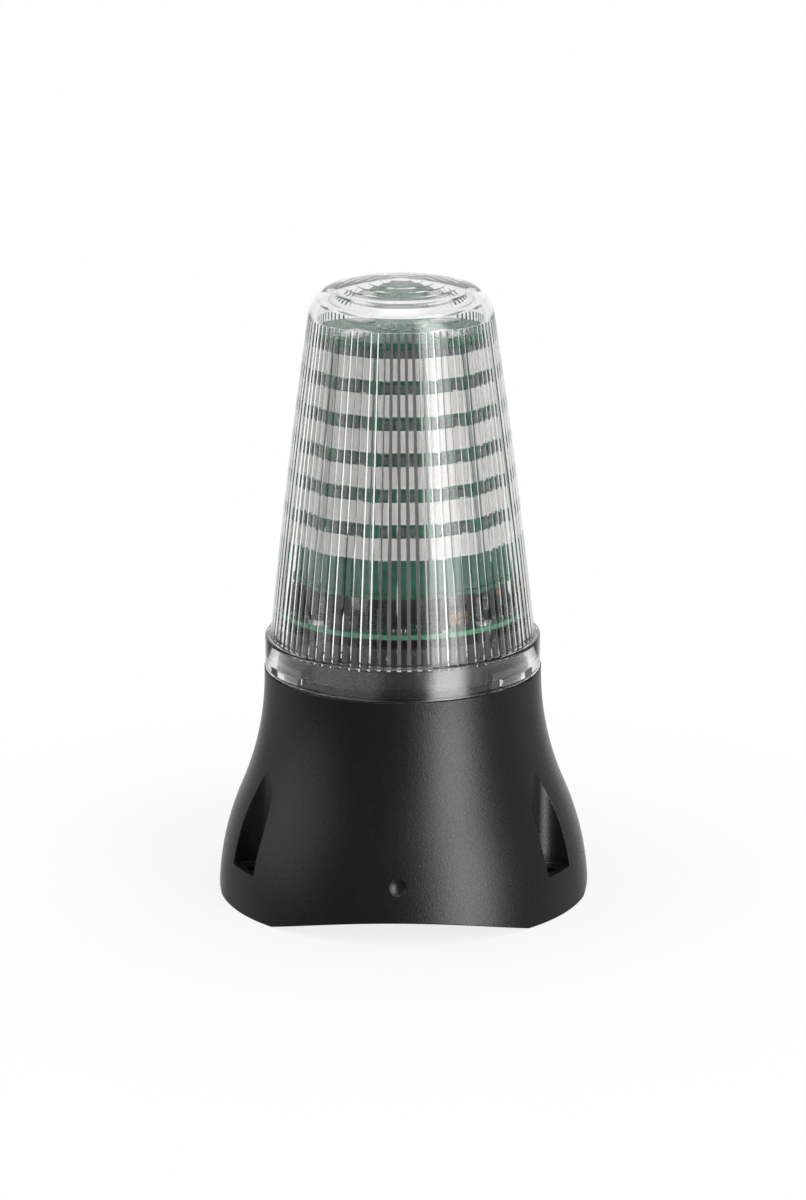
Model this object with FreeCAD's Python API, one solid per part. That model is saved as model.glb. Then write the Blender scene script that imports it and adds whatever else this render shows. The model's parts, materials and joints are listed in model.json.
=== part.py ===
import FreeCAD, Part
import math
import os

# Sounder beacon: a flared base that holds a sounder, a light tower on a round board, and a clear ribbed lens.
# Millimetres, +Z up, origin on the axis at the floor, front towards -Y.

# Base housing: flare, feet and arches
flare_root_radius = 62.55
flare_root_drop = 3.0
flare_turn_height = 34.6
neck_radius = 46.3
neck_land = 2.0
base_height = 77.0
base_wall = 3.0
skirt_knee_height = 26.0
foot_count = 3
foot_width_angle = 34.6
arch_rise = 7.2
dimple_diameter = 5.5
dimple_depth = 0.9
dimple_height = 19.5

# Fixing pockets in the feet
fixing_inset = 6.5
fixing_hole_diameter = 5.3
pocket_back_offset = 5.7
pocket_width = 14.8
pocket_floor_height = 14.2
pocket_wall = 2.5

# Closing plate under the chamber
cover_underside = 5.2
cover_thickness = 3.0
cover_gasket_thickness = 0.8
cover_edge_room = 0.5
cover_edge_inset = 0.05
sound_slot_count = 5
sound_slot_width = 3.0
sound_slot_pitch = 7.0
sound_field_radius = 19.0

# Collar that stands inside the lens, and the bosses that carry the control board
collar_radius = 39.7
collar_wall = 2.5
collar_height = 16.5
boss_count = 4
boss_first_azimuth = 45.0
boss_circle_radius = 36.0
boss_radius = 3.6
boss_web = 2.0
board_standoff = 3.0

# Pan-head screws
screw_diameter = 2.9
screw_head_diameter = 5.6
screw_head_height = 2.0
screw_length = 12.0
screw_clearance = 0.1
screw_end_room = 1.0

# Bayonet between lens and collar
bayonet_count = 3
bayonet_first_azimuth = 60.0
bayonet_lug_angle = 24.0
bayonet_stop_angle = 3.0
bayonet_play_angle = 0.6
bayonet_play = 0.3
bayonet_lift = 0.6
lens_lug_height = 2.2
collar_lug_height = 2.4
collar_lug_width = 2.5

# Lens seal in the shoulder of the base
seal_radius = 44.8
seal_width = 1.6
seal_groove_depth = 1.0
seal_proud = 0.1

# Clear lens
lens_gap = 0.3
lens_flange_radius = 46.0
lens_flange_height = 11.0
lens_flange_chamfer = 0.8
lens_flange_wall = 2.4
lens_step_height = 3.3
lens_step = 1.0
lens_foot_radius = 44.1
lens_top_radius = 30.5
lens_wall_top_height = 119.2
lens_wall = 2.3
lens_wall_bulge = 0.65
lens_wall_bands = 4
lens_corner_radius = 10.9
lens_dome_radius = 87.0
rib_count = 80
rib_share = 0.4
rib_start_height = 9.2
rib_end_drop = 1.3
rib_land = 0.2
dome_thickness = 2.9
dome_ring_first_radius = 3.6
dome_ring_pitch = 3.73
dome_ring_drop = 0.7
dome_shoulder_width = 1.0
dome_shoulder_bands = 4

# Control board
board_radius = 39.2
board_thickness = 1.6
tab_clearance = 0.1

# Light tower: upright boards that lean in towards a smaller top
tower_sides = 12
tower_foot_inset = 9.4
tower_top_inset = 4.4
tower_height = 79.4
tower_foot_gap = 11.0
tower_plate_rim = 0.8
tower_wire_hole = 24.0
tower_corner_gap = 0.2
tab_width = 8.0
led_height = 7.1
led_thickness = 1.0
led_rows = 6
led_row_pitch = 11.57
led_top_margin = 3.4
led_side_margin = 0.15
top_led_count = 4
top_led_size = 7.2
top_led_inset = 6.1
header_count = 6
header_width = 10.2
header_depth = 2.5
header_radius = 24.0

# Parts on the control board
terminal_length = 20.0
terminal_depth = 7.4
terminal_height = 9.0
terminal_chamfer = 0.6
terminal_ways = 4
terminal_pitch = 5.0
terminal_well_diameter = 3.6
terminal_well_depth = 5.0
terminal_well_height = 6.4
terminal_screw_diameter = 3.2
terminal_screw_length = 4.2
terminal_wire_hole = 2.8
terminal_wire_depth = 4.5
edge_part_inner_radius = 28.8
switch_ways = 6
switch_pitch = 2.54
switch_end = 2.0
switch_depth = 6.5
switch_height = 5.0
slider_width = 1.2
slider_length = 1.6
slider_travel = 2.0
slider_sink = 1.3
slider_rise = 0.9
slider_clearance = 0.1
trimmer_size = 6.6
trimmer_depth = 4.6
trimmer_radius = 33.0
trimmer_azimuth = 30.0
rotor_diameter = 5.0
rotor_sink = 1.4
rotor_rise = 0.4
rotor_slot = 0.9
rotor_clearance = 0.1
inductor_size = 8.0
inductor_height = 4.5
inductor_chamfer = 1.6
inductor_radius = 32.0
inductor_azimuth = -30.0
capacitor_diameter = 8.0
capacitor_height = 10.5
capacitor_radius = 33.0
capacitor_azimuths = (162.0, 198.0)
chip_width = 5.0
chip_depth = 4.0
chip_height = 1.6
chip_radius = 33.0
chip_azimuths = (-60.0, 0.0, 60.0, 125.0, 235.0)

# Sounder in the base
sounder_centre_y = -8.0
sounder_radius = 26.0
sounder_height = 18.0
sounder_wall = 2.0
sounder_ledge = 2.6
clamp_height = 6.0
clamp_width = 3.0
diaphragm_thickness = 0.5
piezo_radius = 15.0
piezo_thickness = 0.4
sounder_ear_radius = 3.6
sounder_ear_thickness = 3.0
sounder_head_clearance = 0.3
sounder_screw_length = 5.0
lead_diameter = 1.6
lead_spacing = 6.0

# Cable inlet behind the sounder
cable_hole_diameter = 13.0
cable_diameter = 7.0
grommet_flange = 2.0
grommet_lip = 2.0
grommet_gap = 2.1

# Heights worked out from the sizes above
cover_top = cover_underside + cover_thickness
chamber_floor = cover_top + cover_gasket_thickness
chamber_radius = neck_radius - base_wall
cover_radius = neck_radius - cover_edge_inset
collar_bore = collar_radius - collar_wall
collar_top = base_height + collar_height
board_underside = collar_top + board_standoff
board_top = board_underside + board_thickness
tower_foot = board_top + tower_foot_gap + board_thickness
tower_top = tower_foot + tower_height
lens_bottom = base_height + lens_gap
flange_top = lens_bottom + lens_flange_height
wall_top = lens_bottom + lens_wall_top_height
rib_bottom = lens_bottom + rib_start_height
rib_top = wall_top - rib_end_drop
lens_bore = lens_flange_radius - lens_flange_wall
lens_lug_bottom = lens_bottom + bayonet_lift
collar_lug_bottom = lens_lug_bottom + lens_lug_height + bayonet_play
tower_foot_apothem = lens_foot_radius - tower_foot_inset
tower_top_apothem = lens_top_radius - tower_top_inset
top_led_circle_radius = tower_top_apothem - top_led_inset
tower_lean = math.atan((tower_foot_apothem - tower_top_apothem) / tower_height)
tower_slant = tower_height / math.cos(tower_lean)
grommet_lip_radius = cable_hole_diameter / 2 + grommet_flange
grommet_centre_y = sounder_centre_y + sounder_radius + grommet_gap + grommet_lip_radius
sounder_ear_reach = sounder_radius + screw_head_diameter / 2 + sounder_head_clearance

# The flare is two arcs, upright at both ends and tangent where they meet
flare_top = base_height - neck_land
flare_angle = 2.0 * math.atan((flare_root_radius - neck_radius) / (flare_top + flare_root_drop))
lower_arc = (flare_turn_height + flare_root_drop) / math.sin(flare_angle)
upper_arc = (flare_top - flare_turn_height) / math.sin(flare_angle)


def vec(x, y, z):
    return FreeCAD.Vector(x, y, z)


ORIGIN = vec(0, 0, 0)
UP = vec(0, 0, 1)


def line(start, end):
    """Straight edge between two (radius, height) points of a section."""
    return Part.LineSegment(vec(start[0], 0, start[1]), vec(end[0], 0, end[1])).toShape()


def arc(start, through, end):
    """Arc edge through three (radius, height) points of a section."""
    points = [vec(r, 0, z) for r, z in (start, through, end)]
    return Part.Arc(*points).toShape()


def revolve_edges(edges, angle=360.0):
    """Solid swept about the axis by a closed section."""
    return Part.Face(Part.Wire(edges)).revolve(ORIGIN, UP, angle)


def revolve(points, angle=360.0):
    """Solid swept about the axis by a section with straight sides."""
    closed = list(points) + [points[0]]
    return revolve_edges([line(a, b) for a, b in zip(closed, closed[1:])], angle)


def cylinder(radius, bottom, top, x=0.0, y=0.0):
    return Part.makeCylinder(radius, top - bottom, vec(x, y, bottom))


def ring(inner, outer, bottom, top):
    return cylinder(outer, bottom, top).cut(cylinder(inner, bottom, top))


def box(width, depth, bottom, top, x=0.0, y=0.0):
    """Upright box centred on x and y."""
    return Part.makeBox(width, depth, top - bottom, vec(x - width / 2, y - depth / 2, bottom))


def turned(shape, azimuth):
    """Copy turned about the axis: azimuth 0 is the front, and 90 is towards +X."""
    copy = shape.copy()
    copy.rotate(ORIGIN, UP, azimuth)
    return copy


def around(shape, count, first=0.0):
    """Copies of a shape at equal angles about the axis."""
    return [turned(shape, first + 360.0 * k / count) for k in range(count)]


def ring_sector(inner, outer, bottom, top, middle, angle):
    """Part of a ring, centred on an azimuth."""
    sector = revolve([(inner, bottom), (outer, bottom), (outer, top), (inner, top)], angle)
    return turned(sector, middle - 90.0 - angle / 2)


def save(name, shapes):
    """Writes one node: a solid, or separate solids that belong together."""
    shape = shapes if isinstance(shapes, Part.Shape) else Part.makeCompound(shapes)
    shape.exportStep("parts/" + name + ".step")


def pan_screw(seat, length, upward, x=0.0, y=0.0):
    """Screw with its head on a seat height; upward screws enter from below."""
    way = 1.0 if upward else -1.0
    shank = Part.makeCylinder(screw_diameter / 2, length, vec(x, y, seat), vec(0, 0, way))
    head = Part.makeCylinder(screw_head_diameter / 2, screw_head_height, vec(x, y, seat), vec(0, 0, -way))
    return shank.fuse(head).removeSplitter()


def flare_radius(z):
    """Outside radius of the base at a height on its flare."""
    if z <= flare_turn_height:
        return flare_root_radius - lower_arc + math.sqrt(lower_arc**2 - (z + flare_root_drop) ** 2)
    return neck_radius + upper_arc - math.sqrt(upper_arc**2 - (flare_top - z) ** 2)


def flare_edge(low, high):
    """Arc of the flare between two heights on the same side of its turn."""
    middle = (low + high) / 2
    return arc(*[(flare_radius(z), z) for z in (low, middle, high)])


fixing_circle_radius = flare_radius(0.0) - fixing_inset
pocket_axis_radius = fixing_circle_radius - pocket_back_offset + pocket_width / 2


def base_blank():
    """Solid of the base's outside, with the collar on its shoulder."""
    floor_edge = (flare_radius(0.0), 0.0)
    return revolve_edges(
        [
            line((0, 0), floor_edge),
            flare_edge(0.0, flare_turn_height),
            flare_edge(flare_turn_height, flare_top),
            line((neck_radius, flare_top), (neck_radius, base_height)),
            line((neck_radius, base_height), (collar_radius, base_height)),
            line((collar_radius, base_height), (collar_radius, collar_top)),
            line((collar_radius, collar_top), (0, collar_top)),
            line((0, collar_top), (0, 0)),
        ]
    )


def underside():
    """Space under the base: a recess below the chamber and a gap inside the skirt, less the foot columns."""
    gap_top = flare_top - math.sqrt(2 * upper_arc * base_wall - base_wall**2)
    space = revolve(
        [
            (0, 0),
            (flare_radius(0.0) - base_wall, 0),
            (flare_radius(skirt_knee_height) - base_wall, skirt_knee_height),
            (neck_radius, gap_top),
            (neck_radius, chamber_floor),
            (0, chamber_floor),
        ]
    )
    column = cylinder(pocket_width / 2 + pocket_wall, 0, base_height, 0, -pocket_axis_radius)
    column = column.cut(cylinder(neck_radius + cover_edge_room, 0, chamber_floor))
    return space.cut(around(column, foot_count, 180.0 / foot_count))


def chamber():
    """Room inside the base, narrowed to the collar at the top."""
    ceiling = base_height - base_wall
    return revolve(
        [
            (0, chamber_floor),
            (chamber_radius, chamber_floor),
            (chamber_radius, ceiling - (chamber_radius - collar_bore)),
            (collar_bore, ceiling),
            (collar_bore, collar_top),
            (0, collar_top),
        ]
    )


def arch():
    """Round-topped cut under the front of the skirt."""
    half_span = flare_radius(0.0) * math.sin(math.radians(180.0 / foot_count - foot_width_angle / 2))
    radius = (half_span**2 + arch_rise**2) / (2 * arch_rise)
    reach = flare_root_radius + base_wall
    start = vec(0, -reach, arch_rise - radius)
    return Part.makeCylinder(radius, reach - pocket_width, start, vec(0, 1, 0))


def fixing_pocket():
    """Upright slot for a fixing screw in the front of the skirt, with its hole through the foot."""
    half = pocket_width / 2
    slot = cylinder(half, pocket_floor_height, base_height, 0, -pocket_axis_radius)
    mouth = Part.makeBox(pocket_width, pocket_width, base_height - pocket_floor_height,
                         vec(-half, -pocket_axis_radius - pocket_width, pocket_floor_height))
    hole = cylinder(fixing_hole_diameter / 2, 0, pocket_floor_height, 0, -fixing_circle_radius)
    return slot.fuse([mouth, hole])


def gate_dimple():
    """Ball that leaves the moulding gate's shallow dimple in the front of the skirt."""
    radius = (dimple_diameter**2 / 4 + dimple_depth**2) / (2 * dimple_depth)
    reach = flare_radius(dimple_height) + radius - dimple_depth
    return Part.makeSphere(radius, vec(0, -reach, dimple_height))


def board_boss():
    """Boss with a web to the chamber wall; it takes a cover screw from below and a board screw from above."""
    boss = cylinder(boss_radius, cover_top, board_underside, 0, -boss_circle_radius)
    web_depth = chamber_radius + base_wall / 2 - boss_circle_radius
    web_top = base_height - base_wall - (chamber_radius - collar_bore)
    web = box(boss_web, web_depth, chamber_floor, web_top, 0, -boss_circle_radius - web_depth / 2)
    return boss.fuse(web)


def boss_pilots():
    """Pilot holes at both ends of a boss."""
    radius = screw_diameter / 2 + screw_clearance
    depth = screw_length + screw_end_room
    low = cylinder(radius, cover_top, cover_top + depth, 0, -boss_circle_radius)
    high = cylinder(radius, board_underside - depth, board_underside, 0, -boss_circle_radius)
    return low.fuse(high)


def collar_lug(azimuth):
    """Bayonet lug on the collar with the stop that the lens closes against."""
    inner = collar_radius - collar_wall / 2
    outer = collar_radius + collar_lug_width
    top = collar_lug_bottom + collar_lug_height
    lug = ring_sector(inner, outer, collar_lug_bottom, top, azimuth, bayonet_lug_angle)
    stop_middle = azimuth - bayonet_lug_angle / 2 - bayonet_play_angle - bayonet_stop_angle / 2
    stop = ring_sector(inner, outer, base_height, top, stop_middle, bayonet_stop_angle)
    bridge = ring_sector(inner, outer, collar_lug_bottom, top, stop_middle + bayonet_stop_angle,
                         bayonet_stop_angle)
    return lug.fuse([stop, bridge])


def bayonet_azimuths():
    return [bayonet_first_azimuth + 360.0 * k / bayonet_count for k in range(bayonet_count)]


def base_housing():
    housing = base_blank().cut([underside(), chamber()])
    bosses = around(board_boss(), boss_count, boss_first_azimuth)
    lugs = [collar_lug(azimuth) for azimuth in bayonet_azimuths()]
    housing = housing.fuse(bosses + lugs)
    seal_groove = ring(seal_radius - seal_width / 2, seal_radius + seal_width / 2,
                       base_height - seal_groove_depth, base_height)
    cuts = around(arch(), foot_count)
    cuts += around(fixing_pocket(), foot_count, 180.0 / foot_count)
    cuts += around(boss_pilots(), boss_count, boss_first_azimuth)
    return housing.cut(cuts + [seal_groove, gate_dimple()]).removeSplitter()


def lens_seal():
    return ring(seal_radius - seal_width / 2, seal_radius + seal_width / 2,
                base_height - seal_groove_depth, base_height + seal_proud)


def lens_crown():
    """Angle where the wall turns into the round corner, and the centres of the corner and the dome."""
    run = lens_foot_radius - lens_top_radius
    rise = wall_top - flange_top
    swell = 2.0 * math.atan(2.0 * lens_wall_bulge / math.hypot(run, rise))
    corner_start = math.atan2(run, rise) + swell
    corner_r = lens_top_radius - lens_corner_radius * math.cos(corner_start)
    corner_z = wall_top - lens_corner_radius * math.sin(corner_start)
    dome_z = corner_z - math.sqrt((lens_dome_radius - lens_corner_radius) ** 2 - corner_r**2)
    return corner_start, corner_r, corner_z, dome_z


def lens_outside():
    """Solid of the lens's outside: flange, slightly swelled wall, round corner and flat dome."""
    run = lens_foot_radius - lens_top_radius
    rise = wall_top - flange_top
    corner_start, corner_r, corner_z, dome_z = lens_crown()
    dome_edge = math.asin(corner_r / (lens_dome_radius - lens_corner_radius))

    def on_corner(angle):
        return (corner_r + lens_corner_radius * math.cos(angle),
                corner_z + lens_corner_radius * math.sin(angle))

    def on_dome(angle):
        return (lens_dome_radius * math.sin(angle), dome_z + lens_dome_radius * math.cos(angle))

    corner_end = math.pi / 2 - dome_edge
    apex = dome_z + lens_dome_radius
    outline = [
        (0, lens_bottom),
        (lens_flange_radius, lens_bottom),
        (lens_flange_radius, flange_top - lens_flange_chamfer),
        (lens_flange_radius - lens_flange_chamfer, flange_top),
    ]
    for band in range(lens_wall_bands + 1):
        share = band / lens_wall_bands
        bulge = 4.0 * lens_wall_bulge * share * (1.0 - share)
        outline.append((lens_foot_radius - share * run + bulge, flange_top + share * rise))
    edges = [line(a, b) for a, b in zip(outline, outline[1:])]
    corner_middle = (corner_start + corner_end) / 2
    edges.append(arc(on_corner(corner_start), on_corner(corner_middle), on_corner(corner_end)))
    edges.append(arc(on_dome(dome_edge), on_dome(dome_edge / 2), (0, apex)))
    edges.append(line((0, apex), (0, lens_bottom)))
    return revolve_edges(edges)


def wall_inside_radius(z):
    """Inside radius of the lens wall between its ribs."""
    share = (z - flange_top) / (wall_top - flange_top)
    return lens_foot_radius - lens_wall + share * (lens_top_radius - lens_foot_radius)


rib_tip_share = 1.0 - rib_share * math.pi / rib_count


def rib_star(z):
    """Corners of the ribbed inside at a height: flat windows between ribs with a square ridge."""
    radius = wall_inside_radius(z)
    half_width = rib_share * math.pi / rib_count
    corners = []
    for k in range(rib_count):
        middle = 2 * math.pi * k / rib_count
        for angle, share in ((-half_width, 1.0), (0.0, rib_tip_share), (half_width, 1.0)):
            reach = radius * share
            corners.append(vec(reach * math.sin(middle + angle), -reach * math.cos(middle + angle), z))
    return corners


def ribbed_room():
    """Tapered room inside the lens wall: its flat sides leave the upright ribs standing."""
    low = rib_star(rib_bottom)
    high = rib_star(rib_top)
    count = len(low)
    sides = []
    for i in range(count):
        j = (i + 1) % count
        sides.append(Part.Face(Part.makePolygon([low[i], low[j], high[j], high[i], low[i]])))
    ends = [Part.Face(Part.makePolygon(star + [star[0]])) for star in (low, high)]
    return Part.makeSolid(Part.makeShell(sides + ends))


def dome_inside_height(radius):
    """Height of the inside of corner and dome, which is level with their outside."""
    _, corner_r, corner_z, dome_z = lens_crown()
    inside_corner = lens_corner_radius - dome_thickness
    inside_dome = lens_dome_radius - dome_thickness
    if radius > inside_dome * corner_r / (lens_dome_radius - lens_corner_radius):
        return corner_z + math.sqrt(inside_corner**2 - (radius - corner_r) ** 2)
    return dome_z + math.sqrt(inside_dome**2 - radius**2)


def dome_ring_radii():
    """Radii of the ring steps, from the outermost that leaves the shoulder its width."""
    _, corner_r, _, _ = lens_crown()
    reach = corner_r + lens_corner_radius - dome_thickness - dome_shoulder_width
    count = 1 + int((reach - dome_ring_first_radius) / dome_ring_pitch)
    return [dome_ring_first_radius + k * dome_ring_pitch for k in reversed(range(count))]


def stepped_dome_room():
    """Room under the dome: a round shoulder, then ring-shaped treads with a step between them."""
    _, corner_r, corner_z, _ = lens_crown()
    inside_corner = lens_corner_radius - dome_thickness
    rings = dome_ring_radii()
    land = wall_inside_radius(rib_top) * rib_tip_share - rib_land
    outline = [(0, rib_top), (land, rib_top)]
    low = math.asin((rib_top - corner_z) / inside_corner)
    high = math.acos((rings[0] - corner_r) / inside_corner)
    for band in range(1, dome_shoulder_bands):
        angle = low + (high - low) * band / dome_shoulder_bands
        outline.append((corner_r + inside_corner * math.cos(angle),
                        corner_z + inside_corner * math.sin(angle)))
    for radius in rings:
        ceiling = dome_inside_height(radius)
        outline.append((radius, ceiling))
        outline.append((radius, ceiling - dome_ring_drop))
    outline.append((0, dome_inside_height(0.0)))
    return revolve(outline)


def flange_room():
    """Stepped bore of the lens flange."""
    step = lens_bottom + lens_step_height
    return revolve(
        [
            (0, lens_bottom),
            (lens_bore, lens_bottom),
            (lens_bore, step),
            (lens_bore - lens_step, step),
            (lens_bore - lens_step, rib_bottom),
            (0, rib_bottom),
        ]
    )


def lens():
    body = lens_outside().cut([flange_room(), ribbed_room(), stepped_dome_room()])
    inner = collar_radius + bayonet_play
    outer = lens_bore + lens_flange_wall / 2
    top = lens_lug_bottom + lens_lug_height
    lugs = [ring_sector(inner, outer, lens_lug_bottom, top, azimuth, bayonet_lug_angle)
            for azimuth in bayonet_azimuths()]
    return body.fuse(lugs).removeSplitter()


def screw_hole(bottom, top):
    """Clearance hole for a boss screw."""
    return cylinder(screw_diameter / 2 + screw_clearance, bottom, top, 0, -boss_circle_radius)


def sounder_ear_places():
    return [(side * sounder_ear_reach, sounder_centre_y) for side in (-1, 1)]


def sound_slots():
    """Row of slots under the sounder, each as long as the round field allows."""
    slots = []
    for k in range(sound_slot_count):
        x = (k - (sound_slot_count - 1) / 2) * sound_slot_pitch
        length = 2 * math.sqrt(sound_field_radius**2 - x**2)
        slots.append(box(sound_slot_width, length, cover_underside, cover_top, x, sounder_centre_y))
    return slots


def base_cover():
    plate = cylinder(cover_radius, cover_underside, cover_top)
    cuts = around(screw_hole(cover_underside, cover_top), boss_count, boss_first_azimuth)
    cuts.append(cylinder(cable_hole_diameter / 2, cover_underside, cover_top, 0, grommet_centre_y))
    pilot_bottom = cover_top + sounder_ear_thickness - sounder_screw_length
    for x, y in sounder_ear_places():
        cuts.append(cylinder(screw_diameter / 2 + screw_clearance, pilot_bottom, cover_top, x, y))
    return plate.cut(cuts + sound_slots())


def cover_gasket():
    return ring(chamber_radius, cover_radius, cover_top, chamber_floor)


def cover_screws():
    screw = pan_screw(cover_underside, cover_thickness + screw_length, True, 0, -boss_circle_radius)
    return around(screw, boss_count, boss_first_azimuth)


def cable_grommet():
    """Rubber ring with a lip on each side of the plate."""
    neck = cable_hole_diameter / 2
    outline = [
        (cable_diameter / 2, cover_underside - grommet_lip),
        (grommet_lip_radius, cover_underside - grommet_lip),
        (grommet_lip_radius, cover_underside),
        (neck, cover_underside),
        (neck, cover_top),
        (grommet_lip_radius, cover_top),
        (grommet_lip_radius, cover_top + grommet_lip),
        (cable_diameter / 2, cover_top + grommet_lip),
    ]
    grommet = revolve(outline)
    grommet.translate(vec(0, grommet_centre_y, 0))
    return grommet


def sounder_ear(x, y):
    """Round-ended ear beside the cup."""
    top = cover_top + sounder_ear_thickness
    lug = box(abs(x), 2 * sounder_ear_radius, cover_top, top, x / 2, y)
    return lug.fuse(cylinder(sounder_ear_radius, cover_top, top, x, y))


def sounder_body():
    """Cup that faces down on the cover, with a ledge for the diaphragm and two ears."""
    bore = sounder_radius - sounder_wall
    ledge = cover_top + clamp_height + diaphragm_thickness
    cup_top = cover_top + sounder_height
    ears = [sounder_ear(x, y) for x, y in sounder_ear_places()]
    cup = cylinder(sounder_radius, cover_top, cup_top, 0, sounder_centre_y).fuse(ears)
    cuts = [cylinder(bore, cover_top, ledge, 0, sounder_centre_y),
            cylinder(bore - sounder_ledge, ledge, cup_top - sounder_wall, 0, sounder_centre_y)]
    ear_top = cover_top + sounder_ear_thickness
    for x, y in sounder_ear_places():
        cuts.append(cylinder(screw_diameter / 2 + screw_clearance, cover_top, ear_top, x, y))
    return cup.cut(cuts).removeSplitter()


def sounder_diaphragm():
    radius = sounder_radius - sounder_wall - tab_clearance
    bottom = cover_top + clamp_height
    return cylinder(radius, bottom, bottom + diaphragm_thickness, 0, sounder_centre_y)


def piezo_disc():
    top = cover_top + clamp_height
    return cylinder(piezo_radius, top - piezo_thickness, top, 0, sounder_centre_y)


def sounder_clamp():
    outer = sounder_radius - sounder_wall - tab_clearance
    clamp = ring(outer - clamp_width, outer, cover_top, cover_top + clamp_height)
    clamp.translate(vec(0, sounder_centre_y, 0))
    return clamp


def sounder_screws():
    seat = cover_top + sounder_ear_thickness
    return [pan_screw(seat, sounder_screw_length, False, x, y) for x, y in sounder_ear_places()]


def sounder_leads():
    bottom = cover_top + sounder_height
    return [cylinder(lead_diameter / 2, bottom, board_underside, side * lead_spacing / 2, sounder_centre_y)
            for side in (-1, 1)]


def leaned(shape):
    """Shape drawn upright on the front of the tower's foot, leaned in with the board."""
    copy = shape.copy()
    copy.rotate(vec(0, -tower_foot_apothem, tower_foot), vec(1, 0, 0), -math.degrees(tower_lean))
    return copy


def tower_board_half_width(slant):
    """Half the width, at a distance up the board, that clears the neighbouring boards at the corners."""
    apothem = tower_foot_apothem - slant * math.sin(tower_lean)
    return (apothem - board_thickness) * math.tan(math.pi / tower_sides) - tower_corner_gap


def tab(clearance):
    """Tongue through both plates of the tower at the middle of the front board, or its slot."""
    half = tab_width / 2 + clearance
    length = tower_slant + 2 * board_thickness + 2 * clearance
    start = vec(-half, -tower_foot_apothem - clearance, tower_foot - board_thickness - clearance)
    return leaned(Part.makeBox(2 * half, board_thickness + 2 * clearance, length, start))


def control_board():
    board = cylinder(board_radius, board_underside, board_top)
    return board.cut(around(screw_hole(board_underside, board_top), boss_count, boss_first_azimuth))


def board_screws():
    screw = pan_screw(board_top, board_thickness + screw_length, False, 0, -boss_circle_radius)
    return around(screw, boss_count, boss_first_azimuth)


def tower_plate(bottom, apothem):
    """Flat board with as many sides as the tower, slotted for the tabs of the upright boards."""
    reach = (apothem + tower_plate_rim) / math.cos(math.pi / tower_sides)
    corners = [turned(Part.Vertex(0, -reach, bottom), 360.0 * (k + 0.5) / tower_sides).Point
               for k in range(tower_sides)]
    plate = Part.Face(Part.makePolygon(corners + [corners[0]])).extrude(vec(0, 0, board_thickness))
    return plate.cut(around(tab(tab_clearance), tower_sides))


def foot_board():
    """Board that carries the tower on the pin headers, with a hole for wires."""
    bottom = tower_foot - board_thickness
    return tower_plate(bottom, tower_foot_apothem).cut(cylinder(tower_wire_hole / 2, bottom, tower_foot))


def top_board():
    return tower_plate(tower_top, tower_top_apothem)


def led_board():
    """Front upright board: narrower at its top, with a tab at each end between the two plates."""
    low = board_thickness * math.tan(tower_lean)
    corners = [(side * tower_board_half_width(slant), slant)
               for side, slant in ((-1, low), (1, low), (1, tower_slant), (-1, tower_slant))]
    points = [vec(x, -tower_foot_apothem, tower_foot + slant) for x, slant in corners]
    panel = leaned(Part.Face(Part.makePolygon(points + [points[0]])).extrude(vec(0, board_thickness, 0)))
    level = tower_foot_apothem + tower_plate_rim
    ends = box(2 * level, 2 * level, tower_foot - board_thickness, tower_top + board_thickness)
    return panel.fuse(tab(0.0).common(ends)).removeSplitter()


def side_leds():
    """White light bars on the front upright board, each as wide as the board allows."""
    bars = []
    for row in range(led_rows):
        top = (tower_height - led_top_margin - row * led_row_pitch) / math.cos(tower_lean)
        half = tower_board_half_width(top) - led_side_margin
        start = vec(-half, -tower_foot_apothem - led_thickness, tower_foot + top - led_height)
        bars.append(leaned(Part.makeBox(2 * half, led_thickness, led_height, start)))
    return bars


def top_leds():
    bottom = tower_top + board_thickness
    outer = box(top_led_size, top_led_size, bottom, bottom + led_thickness, 0, -top_led_circle_radius)
    return around(outer, top_led_count, 180.0 / top_led_count)


def board_headers():
    """Pin headers that carry the tower's foot on the control board."""
    header = box(header_width, header_depth, board_top, tower_foot - board_thickness, 0, -header_radius)
    return around(header, header_count)


def board_edge_part_y(depth):
    """Place of a part that stands near the rim of the control board."""
    return -(edge_part_inner_radius + depth / 2)


def terminal_ways_x():
    return [(k - (terminal_ways - 1) / 2) * terminal_pitch for k in range(terminal_ways)]


def terminal_block():
    """Block at the -X edge, with screw wells and wire holes that face outwards under the tower."""
    y = board_edge_part_y(terminal_depth)
    top = board_top + terminal_height
    rim = y - terminal_depth / 2
    corners = [vec(-terminal_length / 2, rim + terminal_depth, board_top),
               vec(-terminal_length / 2, rim, board_top),
               vec(-terminal_length / 2, rim, top - terminal_chamfer),
               vec(-terminal_length / 2, rim + terminal_chamfer, top),
               vec(-terminal_length / 2, rim + terminal_depth, top)]
    block = Part.Face(Part.makePolygon(corners + [corners[0]])).extrude(vec(terminal_length, 0, 0))
    cuts = []
    for x in terminal_ways_x():
        well = vec(x, rim, board_top + terminal_well_height)
        wire = vec(x, rim, board_top + terminal_wire_hole)
        cuts.append(Part.makeCylinder(terminal_well_diameter / 2, terminal_well_depth, well, vec(0, 1, 0)))
        cuts.append(Part.makeCylinder(terminal_wire_hole / 2, terminal_wire_depth, wire, vec(0, 1, 0)))
    return turned(block.cut(cuts), -90.0)


def terminal_screws():
    """Slotted clamp screws at the bottom of the wells."""
    front = board_edge_part_y(terminal_depth) - terminal_depth / 2
    face = front + terminal_well_depth - terminal_screw_length
    height = board_top + terminal_well_height
    screws = []
    for x in terminal_ways_x():
        end = vec(x, face, height)
        screw = Part.makeCylinder(terminal_screw_diameter / 2, terminal_screw_length, end, vec(0, 1, 0))
        slot = box(terminal_screw_diameter, rotor_slot, height - rotor_slot / 2, height + rotor_slot / 2,
                   x, face + rotor_slot / 2)
        screws.append(turned(screw.cut(slot), -90.0))
    return screws


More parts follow.
